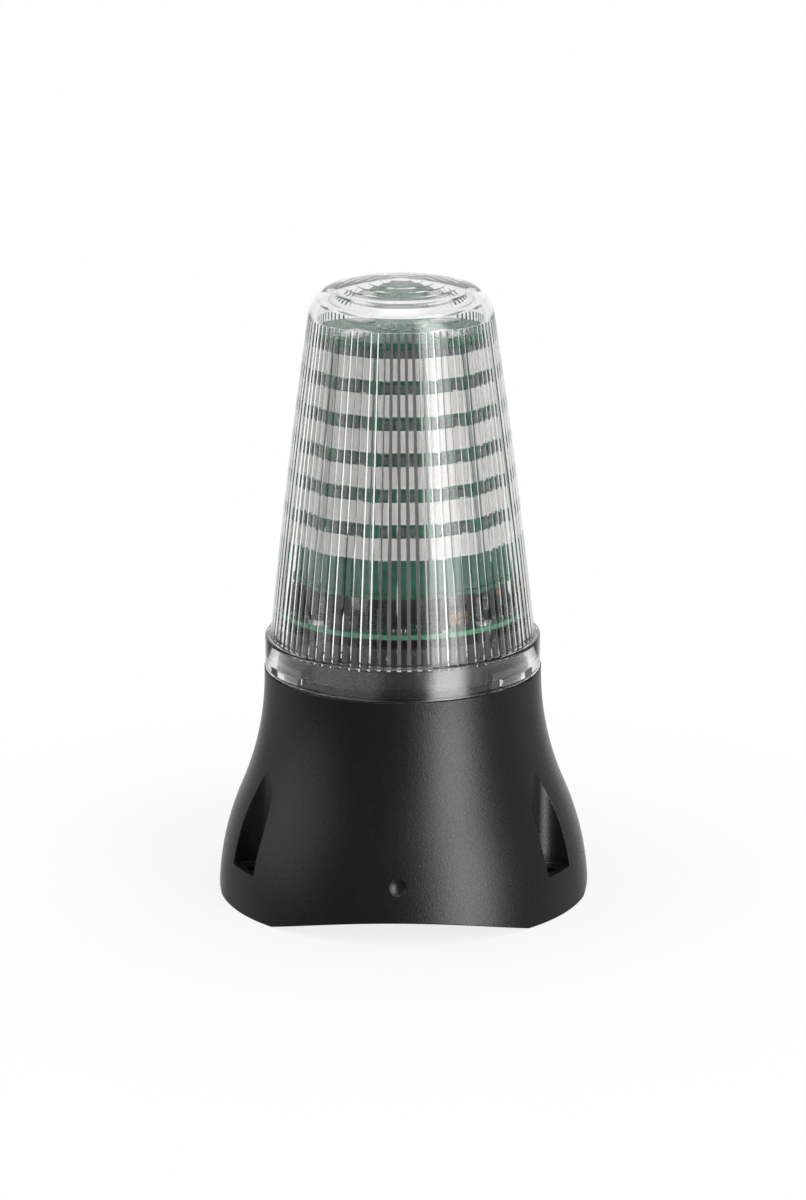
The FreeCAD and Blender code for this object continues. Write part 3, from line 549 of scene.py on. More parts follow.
class BEACON_OT_lens(bpy.types.Operator):
    """Models the clear lens: smooth outside, upright ribs and ring steps inside"""
    bl_idname = "beacon.lens"
    bl_label = "Clear lens"
    # Segments of the wall to each rib's pitch. The rib itself takes two of them.
    rib_segments = 5
    # Half the angle of a bayonet lug in degrees.
    lug_half_angle = 11.8

    def corner_start(self, sizes):
        """Angle where the wall turns into the round corner."""
        run = sizes.foot_radius - sizes.top_radius
        rise = sizes.wall_top - sizes.flange_top
        return math.atan2(run, rise) + 2 * math.atan(2 * sizes.bulge / math.hypot(run, rise))

    def crown(self, sizes):
        """Centres of the round corner and of the dome, and the angle of the dome's edge."""
        start = self.corner_start(sizes)
        corner_r = sizes.top_radius - sizes.corner * math.cos(start)
        corner_z = sizes.wall_top - sizes.corner * math.sin(start)
        reach = sizes.dome_radius - sizes.corner
        return corner_r, corner_z, corner_z - math.sqrt(reach**2 - corner_r**2), math.asin(corner_r / reach)

    def outside(self, sizes):
        """Profile of the outside, from the bore's foot to the top of the dome."""
        run = sizes.foot_radius - sizes.top_radius
        rise = sizes.wall_top - sizes.flange_top
        corner_r, corner_z, dome_z, dome_edge = self.crown(sizes)
        upright = math.pi / 2
        start = self.corner_start(sizes)
        rounding = sizes.flange_round
        chamfer = 0.25 * rounding
        fillet = 0.6 * rounding
        points = [(sizes.bore, sizes.bottom), (sizes.flange_radius - chamfer, sizes.bottom),
                  (sizes.flange_radius, sizes.bottom + chamfer)]
        points += arc(sizes.flange_radius - rounding, sizes.flange_top - rounding, rounding, 0, upright, 6)
        points += arc(sizes.foot_radius + fillet, sizes.flange_top + fillet, fillet, -upright, -math.pi, 4)
        wall_steps = 18
        for step in range(1, wall_steps + 1):
            share = step / wall_steps
            bulge = 4 * sizes.bulge * share * (1 - share)
            points.append((sizes.foot_radius - share * run + bulge, sizes.flange_top + share * rise))
        points += arc(corner_r, corner_z, sizes.corner, start, upright - dome_edge, 14)[1:]
        points += arc(0, dome_z, sizes.dome_radius, upright - dome_edge, upright, 14)[1:-1]
        return points + [(0, dome_z + sizes.dome_radius)]

    def dome_inside(self, sizes):
        """Profile of the inside above the ribs: a round shoulder, then a stair of ring treads."""
        corner_r, corner_z, dome_z, dome_edge = self.crown(sizes)
        corner = sizes.corner - sizes.dome_thickness
        dome = sizes.dome_radius - sizes.dome_thickness
        radii = [sizes.ring_first + k * sizes.ring_pitch for k in reversed(range(sizes.ring_count))]
        low = math.asin((sizes.rib_top - corner_z) / corner)
        high = math.acos((radii[0] - corner_r) / corner)
        points = arc(corner_r, corner_z, corner, low, high, 8)[1:-1]
        for radius in radii:
            if radius > dome * math.sin(dome_edge):
                ceiling = corner_z + math.sqrt(corner**2 - (radius - corner_r) ** 2)
            else:
                ceiling = dome_z + math.sqrt(dome**2 - radius**2)
            points += [(radius, ceiling), (radius, ceiling - sizes.ring_drop)]
        return points + [(0, dome_z + dome)]

    def wall_inside(self, sizes, height):
        """Inside radius of the wall between its ribs."""
        share = (height - sizes.flange_top) / (sizes.wall_top - sizes.flange_top)
        return sizes.foot_radius - sizes.wall + share * (sizes.top_radius - sizes.foot_radius)

    def ribs(self, piece, sizes, low):
        """Draws the ribs up from the ring at their foot to a round land, and gives its radius."""
        high = self.wall_inside(sizes, sizes.rib_top)
        # A rib is half as deep as it is wide.
        tip_share = 1 - 2 / self.rib_segments * math.pi / sizes.rib_count
        pitch = 360.0 / sizes.rib_count

        def on_tip(co):
            return near_azimuth(co, pitch * round(azimuth_of(co) / pitch), 0.1)

        select_vertices(piece, lambda co: on_ring(co, low, sizes.rib_bottom) and on_tip(co))
        widen(tip_share, sizes.rib_bottom)
        select_vertices(piece, lambda co: abs(co.z - sizes.rib_bottom) < NEAR
                        and math.hypot(co.x, co.y) < low + NEAR)
        land = high * tip_share - sizes.rib_land
        draw_ring([(low, sizes.rib_bottom), (high, sizes.rib_top), (land, sizes.rib_top)])
        select_vertices(piece, lambda co: on_ring(co, land * tip_share, sizes.rib_top))
        widen(1 / tip_share, sizes.rib_top)
        return land

    def execute(self, context):
        sizes = context.scene.beacon_lens
        outline = self.outside(sizes)
        bore_foot = outline[0]
        piece = start_ring("clear_lens", bore_foot, self.rib_segments * sizes.rib_count)
        draw_ring(outline)
        select_vertices(piece, lambda co: on_ring(co, *bore_foot))
        throat = sizes.bore - sizes.step
        low = self.wall_inside(sizes, sizes.rib_bottom)
        draw_ring([bore_foot, (sizes.bore, sizes.lug_low), (sizes.bore, sizes.lug_high),
                   (sizes.bore, sizes.step_height), (throat, sizes.step_height), (throat, sizes.rib_bottom),
                   (low, sizes.rib_bottom)])
        land = self.ribs(piece, sizes, low)
        select_vertices(piece, lambda co: on_ring(co, land, sizes.rib_top))
        draw_ring([(land, sizes.rib_top)] + self.dome_inside(sizes))
        select_faces(piece, lambda co, normal: sizes.lug_low < co.z < sizes.lug_high
                     and abs(math.hypot(co.x, co.y) - sizes.bore) < NEAR
                     and any(near_azimuth(co, foot, self.lug_half_angle) for foot in FEET))
        bpy.ops.mesh.extrude_region_move()
        widen(sizes.lug_reach / sizes.bore, sizes.lug_low)
        bpy.ops.object.mode_set(mode="OBJECT")
        close_mesh(piece)
        paint(piece, clear_polycarbonate(tuple(context.scene.beacon_finishes.lens)))
        dress(piece, "lens", "clear_lens", "lens")
        return {"FINISHED"}


class BEACON_OT_base(bpy.types.Operator):
    """Models the flared base with its collar, feet, arches and screw pockets"""
    bl_idname = "beacon.base"
    bl_label = "Black base"
    segments = 360
    # Middle of a collar lug and of its stop, from a foot's azimuth, and half their angles, in degrees.
    lug_span = (-2.0, 14.0)
    stop_span = (-14.0, 2.0)

    def flare(self, sizes):
        """Function for the outside radius at a height."""
        bend = 2 * math.atan((sizes.root_radius - sizes.neck_radius) / (sizes.flare_top + sizes.root_drop))
        lower = (sizes.turn_height + sizes.root_drop) / math.sin(bend)
        upper = (sizes.flare_top - sizes.turn_height) / math.sin(bend)

        def radius(height):
            if height <= sizes.turn_height:
                return sizes.root_radius - lower + math.sqrt(lower**2 - (height + sizes.root_drop) ** 2)
            return sizes.neck_radius + upper - math.sqrt(upper**2 - (sizes.flare_top - height) ** 2)

        return radius

    def blank(self, sizes, flare):
        """Outside of the base with the collar, its bayonet lugs and the seal groove."""
        flare_steps = 40
        heights = [sizes.flare_top * step / flare_steps for step in range(flare_steps + 1)]
        groove = sizes.height - 1.0 * MM
        profile = [(0, 0)] + [(flare(height), height) for height in heights]
        profile += [(sizes.neck_radius, sizes.height), (sizes.seal_outer, sizes.height),
                    (sizes.seal_outer, groove), (sizes.seal_inner, groove),
                    (sizes.seal_inner, sizes.height)]
        profile += [(sizes.collar_radius, height)
                    for height in (sizes.height, sizes.lug_low, sizes.lug_high, sizes.collar_top)]
        piece = turned_piece("base_shell", profile + [(0, sizes.collar_top)], self.segments)

        def by_foot(co, span):
            return any(near_azimuth(co, foot + span[0], span[1]) for foot in FEET)

        def on_lug(co, normal):
            lug = sizes.lug_low < co.z < sizes.lug_high and by_foot(co, self.lug_span)
            stop = sizes.height < co.z < sizes.lug_low and by_foot(co, self.stop_span)
            return (lug or stop) and abs(math.hypot(co.x, co.y) - sizes.collar_radius) < NEAR

        edit(piece)
        select_faces(piece, on_lug)
        bpy.ops.mesh.extrude_region_move()
        widen(sizes.lug_reach / sizes.collar_radius, sizes.height)
        bpy.ops.object.mode_set(mode="OBJECT")
        return piece

    def post(self, name, radius, low, high, reach, vertices=64):
        """Upright cylinder at the front, with its ends closed."""
        bpy.ops.object.select_all(action="DESELECT")
        bpy.ops.mesh.primitive_cylinder_add(vertices=vertices, radius=radius, depth=high - low,
                                            location=(0, -reach, (low + high) / 2))
        return new_piece(name)

    def underside(self, sizes, flare):
        """Space under the base and between skirt and chamber, less the columns of the feet."""
        below = -5 * MM
        skirt = flare(0.0) - sizes.wall
        knee = flare(sizes.knee_height) - sizes.wall
        profile = [(0, below), (skirt, below), (skirt, 0.0), (knee, sizes.knee_height),
                   (sizes.neck_radius, sizes.gap_top), (sizes.neck_radius, sizes.chamber_floor),
                   (0, sizes.chamber_floor)]
        space = turned_piece("underside_space", profile, self.segments)
        column_radius = sizes.pocket_width / 2 + sizes.pocket_wall
        column = self.post("foot_column", column_radius, 2 * below, sizes.height, sizes.pocket_circle)
        combine(space, ring_of(column, "foot_columns", FEET), "DIFFERENCE")
        return space

    def chamber(self, sizes):
        """Space inside the chamber and the collar."""
        ceiling = sizes.height - sizes.wall
        radius = sizes.neck_radius - sizes.wall
        margin = 0.5 * sizes.chamber_floor
        top = sizes.collar_top + margin
        profile = [(0, margin), (radius, margin), (radius, ceiling - radius + sizes.collar_bore),
                   (sizes.collar_bore, ceiling), (sizes.collar_bore, top), (0, top)]
        return turned_piece("chamber_space", profile, self.segments)

    def pocket(self, sizes):
        """Upright slot, open outwards."""
        slot = self.post("pocket", sizes.pocket_width / 2, sizes.pocket_floor, sizes.height,
                         sizes.pocket_circle)
        edit(slot)
        select_vertices(slot, lambda co: co.y < -sizes.pocket_circle - 0.1 * MM)
        bpy.ops.transform.translate(value=(0, -sizes.pocket_width, 0))
        bpy.ops.object.mode_set(mode="OBJECT")
        return slot

    def arch(self, sizes):
        """Long round-topped cutter under the front of the skirt."""
        radius = (sizes.arch_half_span**2 + sizes.arch_rise**2) / (2 * sizes.arch_rise)
        near = -sizes.pocket_width
        far = -(sizes.root_radius + sizes.wall)
        bpy.ops.object.select_all(action="DESELECT")
        bpy.ops.mesh.primitive_cylinder_add(vertices=900, radius=radius, depth=near - far,
                                            location=(0, (near + far) / 2, sizes.arch_rise - radius),
                                            rotation=(math.pi / 2, 0, 0))
        return new_piece("arch")

    def dimple(self, sizes, flare):
        """Ball that leaves the moulding gate's dimple in the front."""
        radius = (sizes.dimple_radius**2 + sizes.dimple_depth**2) / (2 * sizes.dimple_depth)
        reach = flare(sizes.dimple_height) + radius - sizes.dimple_depth
        bpy.ops.object.select_all(action="DESELECT")
        bpy.ops.mesh.primitive_uv_sphere_add(segments=96, ring_count=48, radius=radius,
                                             location=(0, -reach, sizes.dimple_height))
        return new_piece("dimple")

    def execute(self, context):
        sizes = context.scene.beacon_base
        flare = self.flare(sizes)
        piece = self.blank(sizes, flare)
        combine(piece, self.underside(sizes, flare), "DIFFERENCE")
        combine(piece, self.chamber(sizes), "DIFFERENCE")
        boss_foot = sizes.chamber_floor - 0.8 * MM
        boss = self.post("boss", sizes.boss_radius, boss_foot, sizes.boss_top, sizes.boss_circle)
        combine(piece, ring_of(boss, "bosses", BOSSES), "UNION")
        combine(piece, ring_of(self.arch(sizes), "arches", ARCHES), "DIFFERENCE")
        combine(piece, ring_of(self.pocket(sizes), "pockets", FEET), "DIFFERENCE")
        hole = self.post("hole", sizes.hole_radius, -sizes.wall, sizes.pocket_floor + sizes.wall,
                         sizes.hole_circle, 48)
        combine(piece, ring_of(hole, "holes", FEET), "DIFFERENCE")
        combine(piece, self.dimple(sizes, flare), "DIFFERENCE")
        smooth(rename(piece, "black_base"), 25)
        paint(piece, moulded_abs(tuple(context.scene.beacon_finishes.housing)))
        dress(piece, "base", "black_housing", "base_housing")
        return {"FINISHED"}


class BEACON_OT_lights(bpy.types.Operator):
    """Models the light bars on the tower's sides and the lights on its top"""
    bl_idname = "beacon.lights"
    bl_label = "Lights"
    window_rim = 0.7 * MM
    window_depth = 0.3 * MM
    contact_reach = 0.5 * MM
    contact_thickness = 0.3 * MM
    top_azimuths = (45, 135, 225, 315)

    def contact(self, width, end, way):
        """Soldered contact at the lower or upper end of a light."""
        centre = (way * 0.25 * width, -self.contact_thickness / 2, end + way * self.contact_reach / 2)
        piece = block("contact", (0.16 * width, self.contact_thickness, self.contact_reach), centre)
        paint(piece, *self.finishes)
        edit(piece)
        paint_faces(piece, 2, lambda co, normal: True)
        select_faces(piece, lambda co, normal: normal.y < -FACING)
        bpy.ops.transform.resize(value=(0.85, 1, 0.6))
        bpy.ops.object.mode_set(mode="OBJECT")
        return piece

    def light(self, name, width, height, low, thick, windows):
        """White reflector with dished windows and soldered ends, facing -Y from a board at the origin."""
        body = block(name, (width, thick, height), (0, -thick / 2, low + height / 2))
        paint(body, *self.finishes)
        edit(body)
        for k in range(1, windows):
            cut_across(width * (k / windows - 0.5))
        select_faces(body, lambda co, normal: normal.y < -FACING)
        bpy.ops.mesh.inset(thickness=self.window_rim, use_individual=True)
        bpy.ops.mesh.extrude_faces_move(TRANSFORM_OT_shrink_fatten={"value": -self.window_depth})
        sunk = 0.5 * self.window_depth - thick
        paint_faces(body, 1, lambda co, normal: normal.y < -FACING and co.y > sunk)
        bpy.ops.object.mode_set(mode="OBJECT")
        return join(name, [body, self.contact(width, low, -1), self.contact(width, low + height, 1)])

    def execute(self, context):
        sizes = context.scene.beacon_tower
        colours = context.scene.beacon_finishes
        # Reflector body of white filled polyamide: matt and clean.
        white = grained("polyamide_white", tuple(colours.light_body), 0.04, 0.45, 0.6, 0.01)
        # Silicone with phosphor: satin, pale.
        phosphor = grained("phosphor_silicone", tuple(colours.phosphor), 0.08, 0.3, 0.4, 0.02)
        # Tinned contact with its solder: bright, slightly wavy.
        tin = grained("solder_tin", linear("#c9c8c4"), 0.1, 0.28, 0.5, 0.02, {"Metallic": 1.0})
        self.finishes = (white, phosphor, tin)
        bars = []
        for row in range(sizes.rows):
            top = (sizes.height - sizes.row_margin - row * sizes.row_pitch) / math.cos(tower_lean(sizes))
            width = 2 * (board_half_width(sizes, top) - sizes.bar_margin)
            low = top - sizes.bar_height
            bars.append(self.light("bar", width, sizes.bar_height, low, sizes.bar_thickness, 2))
        panel = leaned(join("bars", bars), sizes)
        for k in range(SIDES):
            copy = turned_copy(panel, "light_bars_%d" % (k + 1), 360.0 * k / SIDES)
            dress(copy, "base", "light_package", "side_leds_%d" % (k + 1))
        bpy.data.objects.remove(panel)
        side = sizes.top_size
        single = self.light("top_light", side, side, -side / 2, sizes.bar_thickness, 1)
        set_down(single, (0, -sizes.top_circle, sizes.top_face), (-math.pi / 2, 0, 0))
        top = ring_of(single, "top_lights", self.top_azimuths)
        dress(top, "base", "light_package", "top_leds")
        return {"FINISHED"}


class BEACON_OT_board_parts(bpy.types.Operator):
    """Models the screws, capacitors, chip legs, resistors and light drivers on the boards; the drivers in
    the tower's gaps are partly painted shade
    """
    bl_idname = "beacon.board_parts"
    bl_label = "Board parts"
    screw_head_height = 2.0 * MM
    # Distances from the axis, and azimuths in degrees.
    screw_circle = 36.0 * MM
    part_circle = 33.0 * MM
    capacitor_azimuths = (162.0, 198.0)
    chip_azimuths = (-60.0, 0.0, 60.0, 125.0, 235.0)
    resistor_azimuths = (12, 22, 42, 50, 76, 104, 116, 142, 150, 170, 190, 210, 222, 250, 290, 312, 322,
                         340, 350)
    # Rows of resistors round the control board, and pairs of them on the top board.
    inner_row = 28.6 * MM
    outer_row = 36.6 * MM
    pair_circle = 7.4 * MM
    pair_offset = 1.6 * MM
    pair_azimuths = (30, 90, 150, 210, 270, 330)
    # Drivers in each gap between the light bars, partly painted shade: they darken the gaps, where the
    # recessed board lies in shade.
    driver_places = (-4.2 * MM, 0.0, 4.2 * MM)

    def screw(self, name, seat, way, depth):
        """Pan-head screws on the boss circle with a cross recess, their shanks up or down from a seat."""
        head = 2.8 * MM
        shank = 1.45 * MM
        point = 1.5 * MM
        rise = -way * self.screw_head_height
        tip = seat + way * depth
        dome = ((0, 1), (0.45, 0.97), (0.75, 0.8), (0.94, 0.45), (1, 0))
        profile = [(across * head, seat + up * rise) for across, up in dome]
        profile += [(shank, seat), (shank, tip - way * point), (0.3 * shank, tip), (0, tip)]
        piece = turned_piece(name, profile, 40)
        for width, breadth in ((3.0, 0.7), (0.7, 3.0)):
            recess = block("recess", (width * MM, breadth * MM, 1.3 * MM), (0, 0, seat + rise))
            combine(piece, recess, "DIFFERENCE")
        smooth(set_down(piece, (0, -self.screw_circle, 0)), 35)
        return ring_of(piece, name, BOSSES)

    def capacitor(self, board):
        """Aluminium can with a rolled groove near its foot and a sunken top, and the plate under it."""
        # Radius and height above the board in millimetres.
        section = ((0, 0.6), (3.6, 0.6), (4.0, 0.9), (4.0, 2.2), (3.6, 2.7), (4.0, 3.2), (4.0, 10.0),
                   (3.85, 10.38), (3.5, 10.5), (3.2, 10.5), (3.12, 10.35), (0, 10.35))
        can = turned_piece("can", [(radius * MM, board + height * MM) for radius, height in section], 64)
        foot = block("foot", (8.0 * MM, 8.0 * MM, 0.9 * MM), (0, 0, board + 0.45 * MM))
        edit(foot, "SELECT")
        bpy.ops.mesh.bevel(offset=0.2 * MM, segments=1)
        bpy.ops.object.mode_set(mode="OBJECT")
        return can, foot

    def chip_legs(self, board):
        """Gull-wing legs along both sides of a driver chip at the front."""
        pitch = 1.27 * MM
        row = 2.2 * MM
        shoulder = board + 0.8 * MM
        legs = []
        for side in (-1, 1):
            for k in range(4):
                centre = ((k - 1.5) * pitch, side * row - self.part_circle, shoulder)
                leg = block("leg", (0.42 * MM, 0.5 * MM, 0.2 * MM), centre)
                edit(leg)
                select_faces(leg, lambda co, normal: normal.y * side > FACING)
                for shift in ((0, side * 0.3 * MM, -0.68 * MM), (0, side * 0.5 * MM, 0)):
                    bpy.ops.mesh.extrude_region_move(TRANSFORM_OT_translate={"value": shift})
                bpy.ops.object.mode_set(mode="OBJECT")
                close_mesh(leg)
                legs.append(leg)
        return join("legs", legs)

    def resistor(self, finishes):
        """Chip resistor with tinned ends, lying at the origin."""
        end = 0.65 * MM
        piece = block("resistor", (2.0 * MM, 1.25 * MM, 0.5 * MM), (0, 0, 0.25 * MM))
        paint(piece, *finishes)
        edit(piece)
        cut_across(end)
        cut_across(-end)
        paint_faces(piece, 1, lambda co, normal: abs(co.x) > end + NEAR)
        bpy.ops.object.mode_set(mode="OBJECT")
        return piece

    def driver(self, finishes):
        """Dark current driver of the lights with chamfered upper edges, lying at the origin. Its dark body
        is partly painted shade where it fills the tower's gaps.
        """
        piece = block("driver", (3.0 * MM, 2.6 * MM, 0.8 * MM), (0, 0, 0.4 * MM))
        paint(piece, *finishes)
        edit(piece)
        paint_faces(piece, 2, lambda co, normal: True)
        select_faces(piece, lambda co, normal: normal.z > FACING)
        bpy.ops.mesh.bevel(offset=0.25 * MM, segments=1)
        bpy.ops.object.mode_set(mode="OBJECT")
        return piece

    def board_ring(self, resistor, board):
        """Resistors round the control board, by turns along and across its rim."""
        flat = [placed_copy(resistor, "flat", (0, -radius, board), (0, 0, turn))
                for radius, turn in ((self.inner_row, 0.0), (self.outer_row, math.pi / 2))]
        ring = [turned_copy(flat[azimuth // 2 % 2], "flat", azimuth) for azimuth in self.resistor_azimuths]
        for piece in flat:
            bpy.data.objects.remove(piece)
        return ring

    def tower_drivers_and_shade(self, driver, sizes):
        """Three drivers in each gap between light bars and three above them, on every side of the tower.
        They are partly painted shade: the dark chips darken the gaps, where the recessed board lies in
        shade.
        """
        below_bar = sizes.row_margin + sizes.bar_height + 2.25 * MM
        below_top = 1.7 * MM
        slants = [sizes.height - below_bar - row * sizes.row_pitch for row in range(sizes.rows - 1)]
        upright = [placed_copy(driver, "upright", (x, 0, slant), (math.pi / 2, 0, 0))
                   for slant in slants + [sizes.height - below_top] for x in self.driver_places]
        bpy.data.objects.remove(driver)
        upright = leaned(join("upright", upright), sizes)
        return ring_of(upright, "upright", [360.0 * k / SIDES for k in range(SIDES)])

    def execute(self, context):
        sizes = context.scene.beacon_tower
        board = sizes.board_top
        # Zinc-plated steel: bright grey with a faint cloudy bloom.
        zinc = grained("zinc_plated_steel", linear("#b9bcc0"), 0.12, 0.32, 1.5, 0.01, {"Metallic": 1.0})
        # Drawn aluminium can: satin.
        can_skin = grained("drawn_aluminium", linear("#c6c7ca"), 0.06, 0.3, 2.0, 0.01, {"Metallic": 1.0})
        # Black epoxy and polyamide bodies: matt, with a fine filler grain.
        epoxy = grained("epoxy_black", tuple(context.scene.beacon_finishes.component), 0.2, 0.5, 0.3, 0.02)
        # Dark grey epoxy of the drivers: satin. Its tone is partly painted shade, set to the shaded board
        # between the light bars.
        slate_and_shade = grained("epoxy_slate_and_shade", linear("#5a6461"), 0.15, 0.45, 0.4, 0.01)
        tin = bpy.data.materials["solder_tin"]
        for place, way in (("cover", 1), ("board", -1)):
            low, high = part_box(place + "_screws")
            seat = (low.z if way > 0 else high.z) + way * self.screw_head_height
            screws = self.screw("screws_" + place, seat, way, high.z - low.z - self.screw_head_height)
            paint(screws, zinc)
            dress(screws, "base", "zinc_steel", place + "_screws")
        can, foot = self.capacitor(board)
        paint(can, can_skin)
        paint(foot, epoxy)
        capacitor = set_down(join("capacitor", [can, foot]), (0, -self.part_circle, 0))
        capacitors = ring_of(capacitor, "capacitors", self.capacitor_azimuths)
        dress(capacitors, "base", "can_aluminium", "power_capacitors")
        legs = ring_of(self.chip_legs(board), "chip_legs", self.chip_azimuths)
        paint(legs, tin)
        dress(legs, "base", "zinc_steel")
        resistor = self.resistor((epoxy, tin))
        ring = self.board_ring(resistor, board)
        sides = self.tower_drivers_and_shade(self.driver((epoxy, tin, slate_and_shade)), sizes)
        pair = [placed_copy(resistor, "crown", (x, -self.pair_circle, sizes.top_face), (0, 0, 0))
                for x in (-self.pair_offset, self.pair_offset)]
        crown = ring_of(join("crown", pair), "crown", self.pair_azimuths)
        bpy.data.objects.remove(resistor)
        resistors = join("board_resistors", ring + [sides, crown])
        dress(resistors, "base", "black_component")
        return {"FINISHED"}


class BEACON_OT_finishes(bpy.types.Operator):
    """Gives every CAD node that still shows its own finish"""
    bl_idname = "beacon.finishes"
    bl_label = "Finishes"

    def execute(self, context):
        colours = context.scene.beacon_finishes
        rim = context.scene.beacon_tower.board_radius
        made = bpy.data.materials
        by_slot = {
            "black_housing": made["abs_spark_texture"],
            "black_component": made["epoxy_black"],
            "zinc_steel": made["zinc_plated_steel"],
            "circuit_board": solder_mask(tuple(colours.mask), tuple(colours.laminate), rim),
            # Brass, lightly brushed and dulled with age.
            "brass": grained("brass_turned", linear("#75623f"), 0.1, 0.28, 1.2, 0.01, {"Metallic": 1.0}),
            # Nitrile rubber: deep black and dull.
            "rubber": grained("nitrile_rubber", linear("#161616"), 0.25, 0.7, 0.5, 0.03),
            # Ferrite: dark grey and dull, with a sintered grain.
            "ferrite": grained("sintered_ferrite", linear("#3a3a3d"), 0.3, 0.55, 0.4, 0.03),
            # Silvered ceramic disc: pale and satin.
            "piezo_ceramic": grained("silvered_ceramic", linear("#cfccc4"), 0.08, 0.35, 0.8, 0.01),
            # Black polyamide of the sounder's cup: satin.
            "sounder_plastic": grained("polyamide_black", linear("#1f1f20"), 0.2, 0.45, 0.5, 0.03),
            # Red PVC round the leads: smooth and slightly glossy.
            "lead_insulation": grained("pvc_red", linear("#a81c1c"), 0.1, 0.35, 1.0, 0.01),
            # Amber acetal sliders: smooth and slightly glossy.
            "amber_slider": grained("acetal_amber", tuple(colours.slider), 0.06, 0.3, 0.8, 0.01),
        }
        for subpart in frame["record"]["subparts"]:
            node = frame["nodes"][subpart["node"]]
            if not node.hide_render:
                paint(node, by_slot[subpart["material_slot"]])
        return {"FINISHED"}


class BEACON_OT_stage(bpy.types.Operator):
    """Sets the floor, white surroundings, softboxes and camera"""
    bl_idname = "beacon.stage"
    bl_label = "Stage"
    # Softboxes: distance and height of the point that they face, and the share of the width that fades.
    softbox_distance = 1.2
    softbox_aim = 0.1
    softbox_fade = 0.35

    def floor(self):
        """Large pale floor that keeps the shadow."""
        bpy.ops.object.select_all(action="DESELECT")
        bpy.ops.mesh.primitive_plane_add(size=8.0, location=(0, 0, FLOOR_HEIGHT))
        floor = new_piece("studio_floor")
        # White emulsion paint: matt.
        material, tree, shader, place = new_material(
            "floor_paint", {"Base Color": linear("#f4f4f4"), "Roughness": 0.8, "Specular IOR Level": 0.2})
        # Away from the object it turns into the white of the surroundings.
        reach = add_node(tree, "ShaderNodeVectorMath", {"operation": "LENGTH"}, links={0: place})
        far = add_node(tree, "ShaderNodeMapRange", {"interpolation_type": "SMOOTHSTEP"},
                       {"From Min": 0.06, "From Max": 0.22, "To Min": 0.82}, {"Value": reach})
        rays = add_node(tree, "ShaderNodeLightPath")
        clear = rays.outputs["Is Transmission Ray"]
        seen = add_node(tree, "ShaderNodeMath", {"operation": "MAXIMUM"},
                        links={0: rays.outputs["Is Camera Ray"], 1: clear})
        share = add_node(tree, "ShaderNodeMath", {"operation": "MULTIPLY"}, links={0: seen, 1: far})
        glow = add_node(tree, "ShaderNodeEmission", values={"Color": (1, 1, 1, 1), "Strength": 1.0})
        look = add_node(tree, "ShaderNodeMixShader", links={0: share, 1: shader, 2: glow})
        # Mirrored rays, rays that the lens throws back to the front and shadow rays pass through it,
        # so the tall softbox lights from below too.
        axes = add_node(tree, "ShaderNodeSeparateXYZ", links={"Vector": place})
        front = add_node(tree, "ShaderNodeMath", {"operation": "LESS_THAN"}, {1: -0.02},
                         {0: axes.outputs["Y"]})
        mirrored = add_node(tree, "ShaderNodeMath", {"operation": "SUBTRACT", "use_clamp": True},
                            links={0: rays.outputs["Is Glossy Ray"], 1: clear})
        returned = add_node(tree, "ShaderNodeMath", {"operation": "MULTIPLY"}, links={0: clear, 1: front})
        either = add_node(tree, "ShaderNodeMath", {"operation": "MAXIMUM"}, links={0: mirrored, 1: returned})
        passing = add_node(tree, "ShaderNodeMath", {"operation": "MAXIMUM"},
                           links={0: either, 1: rays.outputs["Is Shadow Ray"]})
        gap = add_node(tree, "ShaderNodeBsdfTransparent")
        mix = add_node(tree, "ShaderNodeMixShader", links={0: passing, 1: look, 2: gap})
        connect(tree, tree.nodes["Material Output"], {"Surface": mix})
        paint(floor, material)

    def surroundings(self):
        """White to the eye and through glass, dark round the camera, and bright behind in reflections."""
        world = bpy.data.worlds.new("studio_white")
        bpy.context.scene.world = world
        world.use_nodes = True
        tree = world.node_tree
        direction = add_node(tree, "ShaderNodeTexCoord").outputs["Generated"]
        axes = add_node(tree, "ShaderNodeSeparateXYZ", links={"Vector": direction})
        along = {"Value": axes.outputs["Y"]}
        soft = {"interpolation_type": "SMOOTHSTEP"}
        wedge = add_node(tree, "ShaderNodeMapRange", soft,
                         {"From Min": -0.93, "From Max": -0.86, "To Min": 0.15}, along)
        depth = add_node(tree, "ShaderNodeMapRange", soft,
                         {"From Min": -0.55, "From Max": 0.6, "To Min": 0.06, "To Max": 0.28}, along)
        behind = add_node(tree, "ShaderNodeMapRange", soft, {"From Min": 0.75, "From Max": 0.97}, along)
        around = add_node(tree, "ShaderNodeMath", {"operation": "MAXIMUM"}, links={0: depth, 1: behind})
        rays = add_node(tree, "ShaderNodeLightPath")
        # Matt surfaces get half of the white.
        mirrored = add_node(tree, "ShaderNodeMix", {"data_type": "FLOAT"}, {"A": 0.5},
                            {"B": around, "Factor": rays.outputs["Is Glossy Ray"]})
        clear = add_node(tree, "ShaderNodeMix", {"data_type": "FLOAT"},
                         links={"A": mirrored, "B": wedge, "Factor": rays.outputs["Is Transmission Ray"]})
        strength = add_node(tree, "ShaderNodeMath", {"operation": "MAXIMUM"},
                            links={0: clear, 1: rays.outputs["Is Camera Ray"]})
        background = tree.nodes["Background"]
        background.inputs["Color"].default_value = (1, 1, 1, 1)
        connect(tree, background, {"Strength": strength})

    def stand(self, name, data, distance, azimuth, elevation, height):
        """Stands a lamp or a camera round the axis, facing a height on it."""
        holder = bpy.data.objects.new(name, data)
        bpy.context.collection.objects.link(holder)
        reach = distance * math.cos(elevation)
        holder.location = (reach * math.sin(azimuth), -reach * math.cos(azimuth),
                           height + distance * math.sin(elevation))
        holder.rotation_euler = (math.pi / 2 - elevation, 0, azimuth)
        return holder

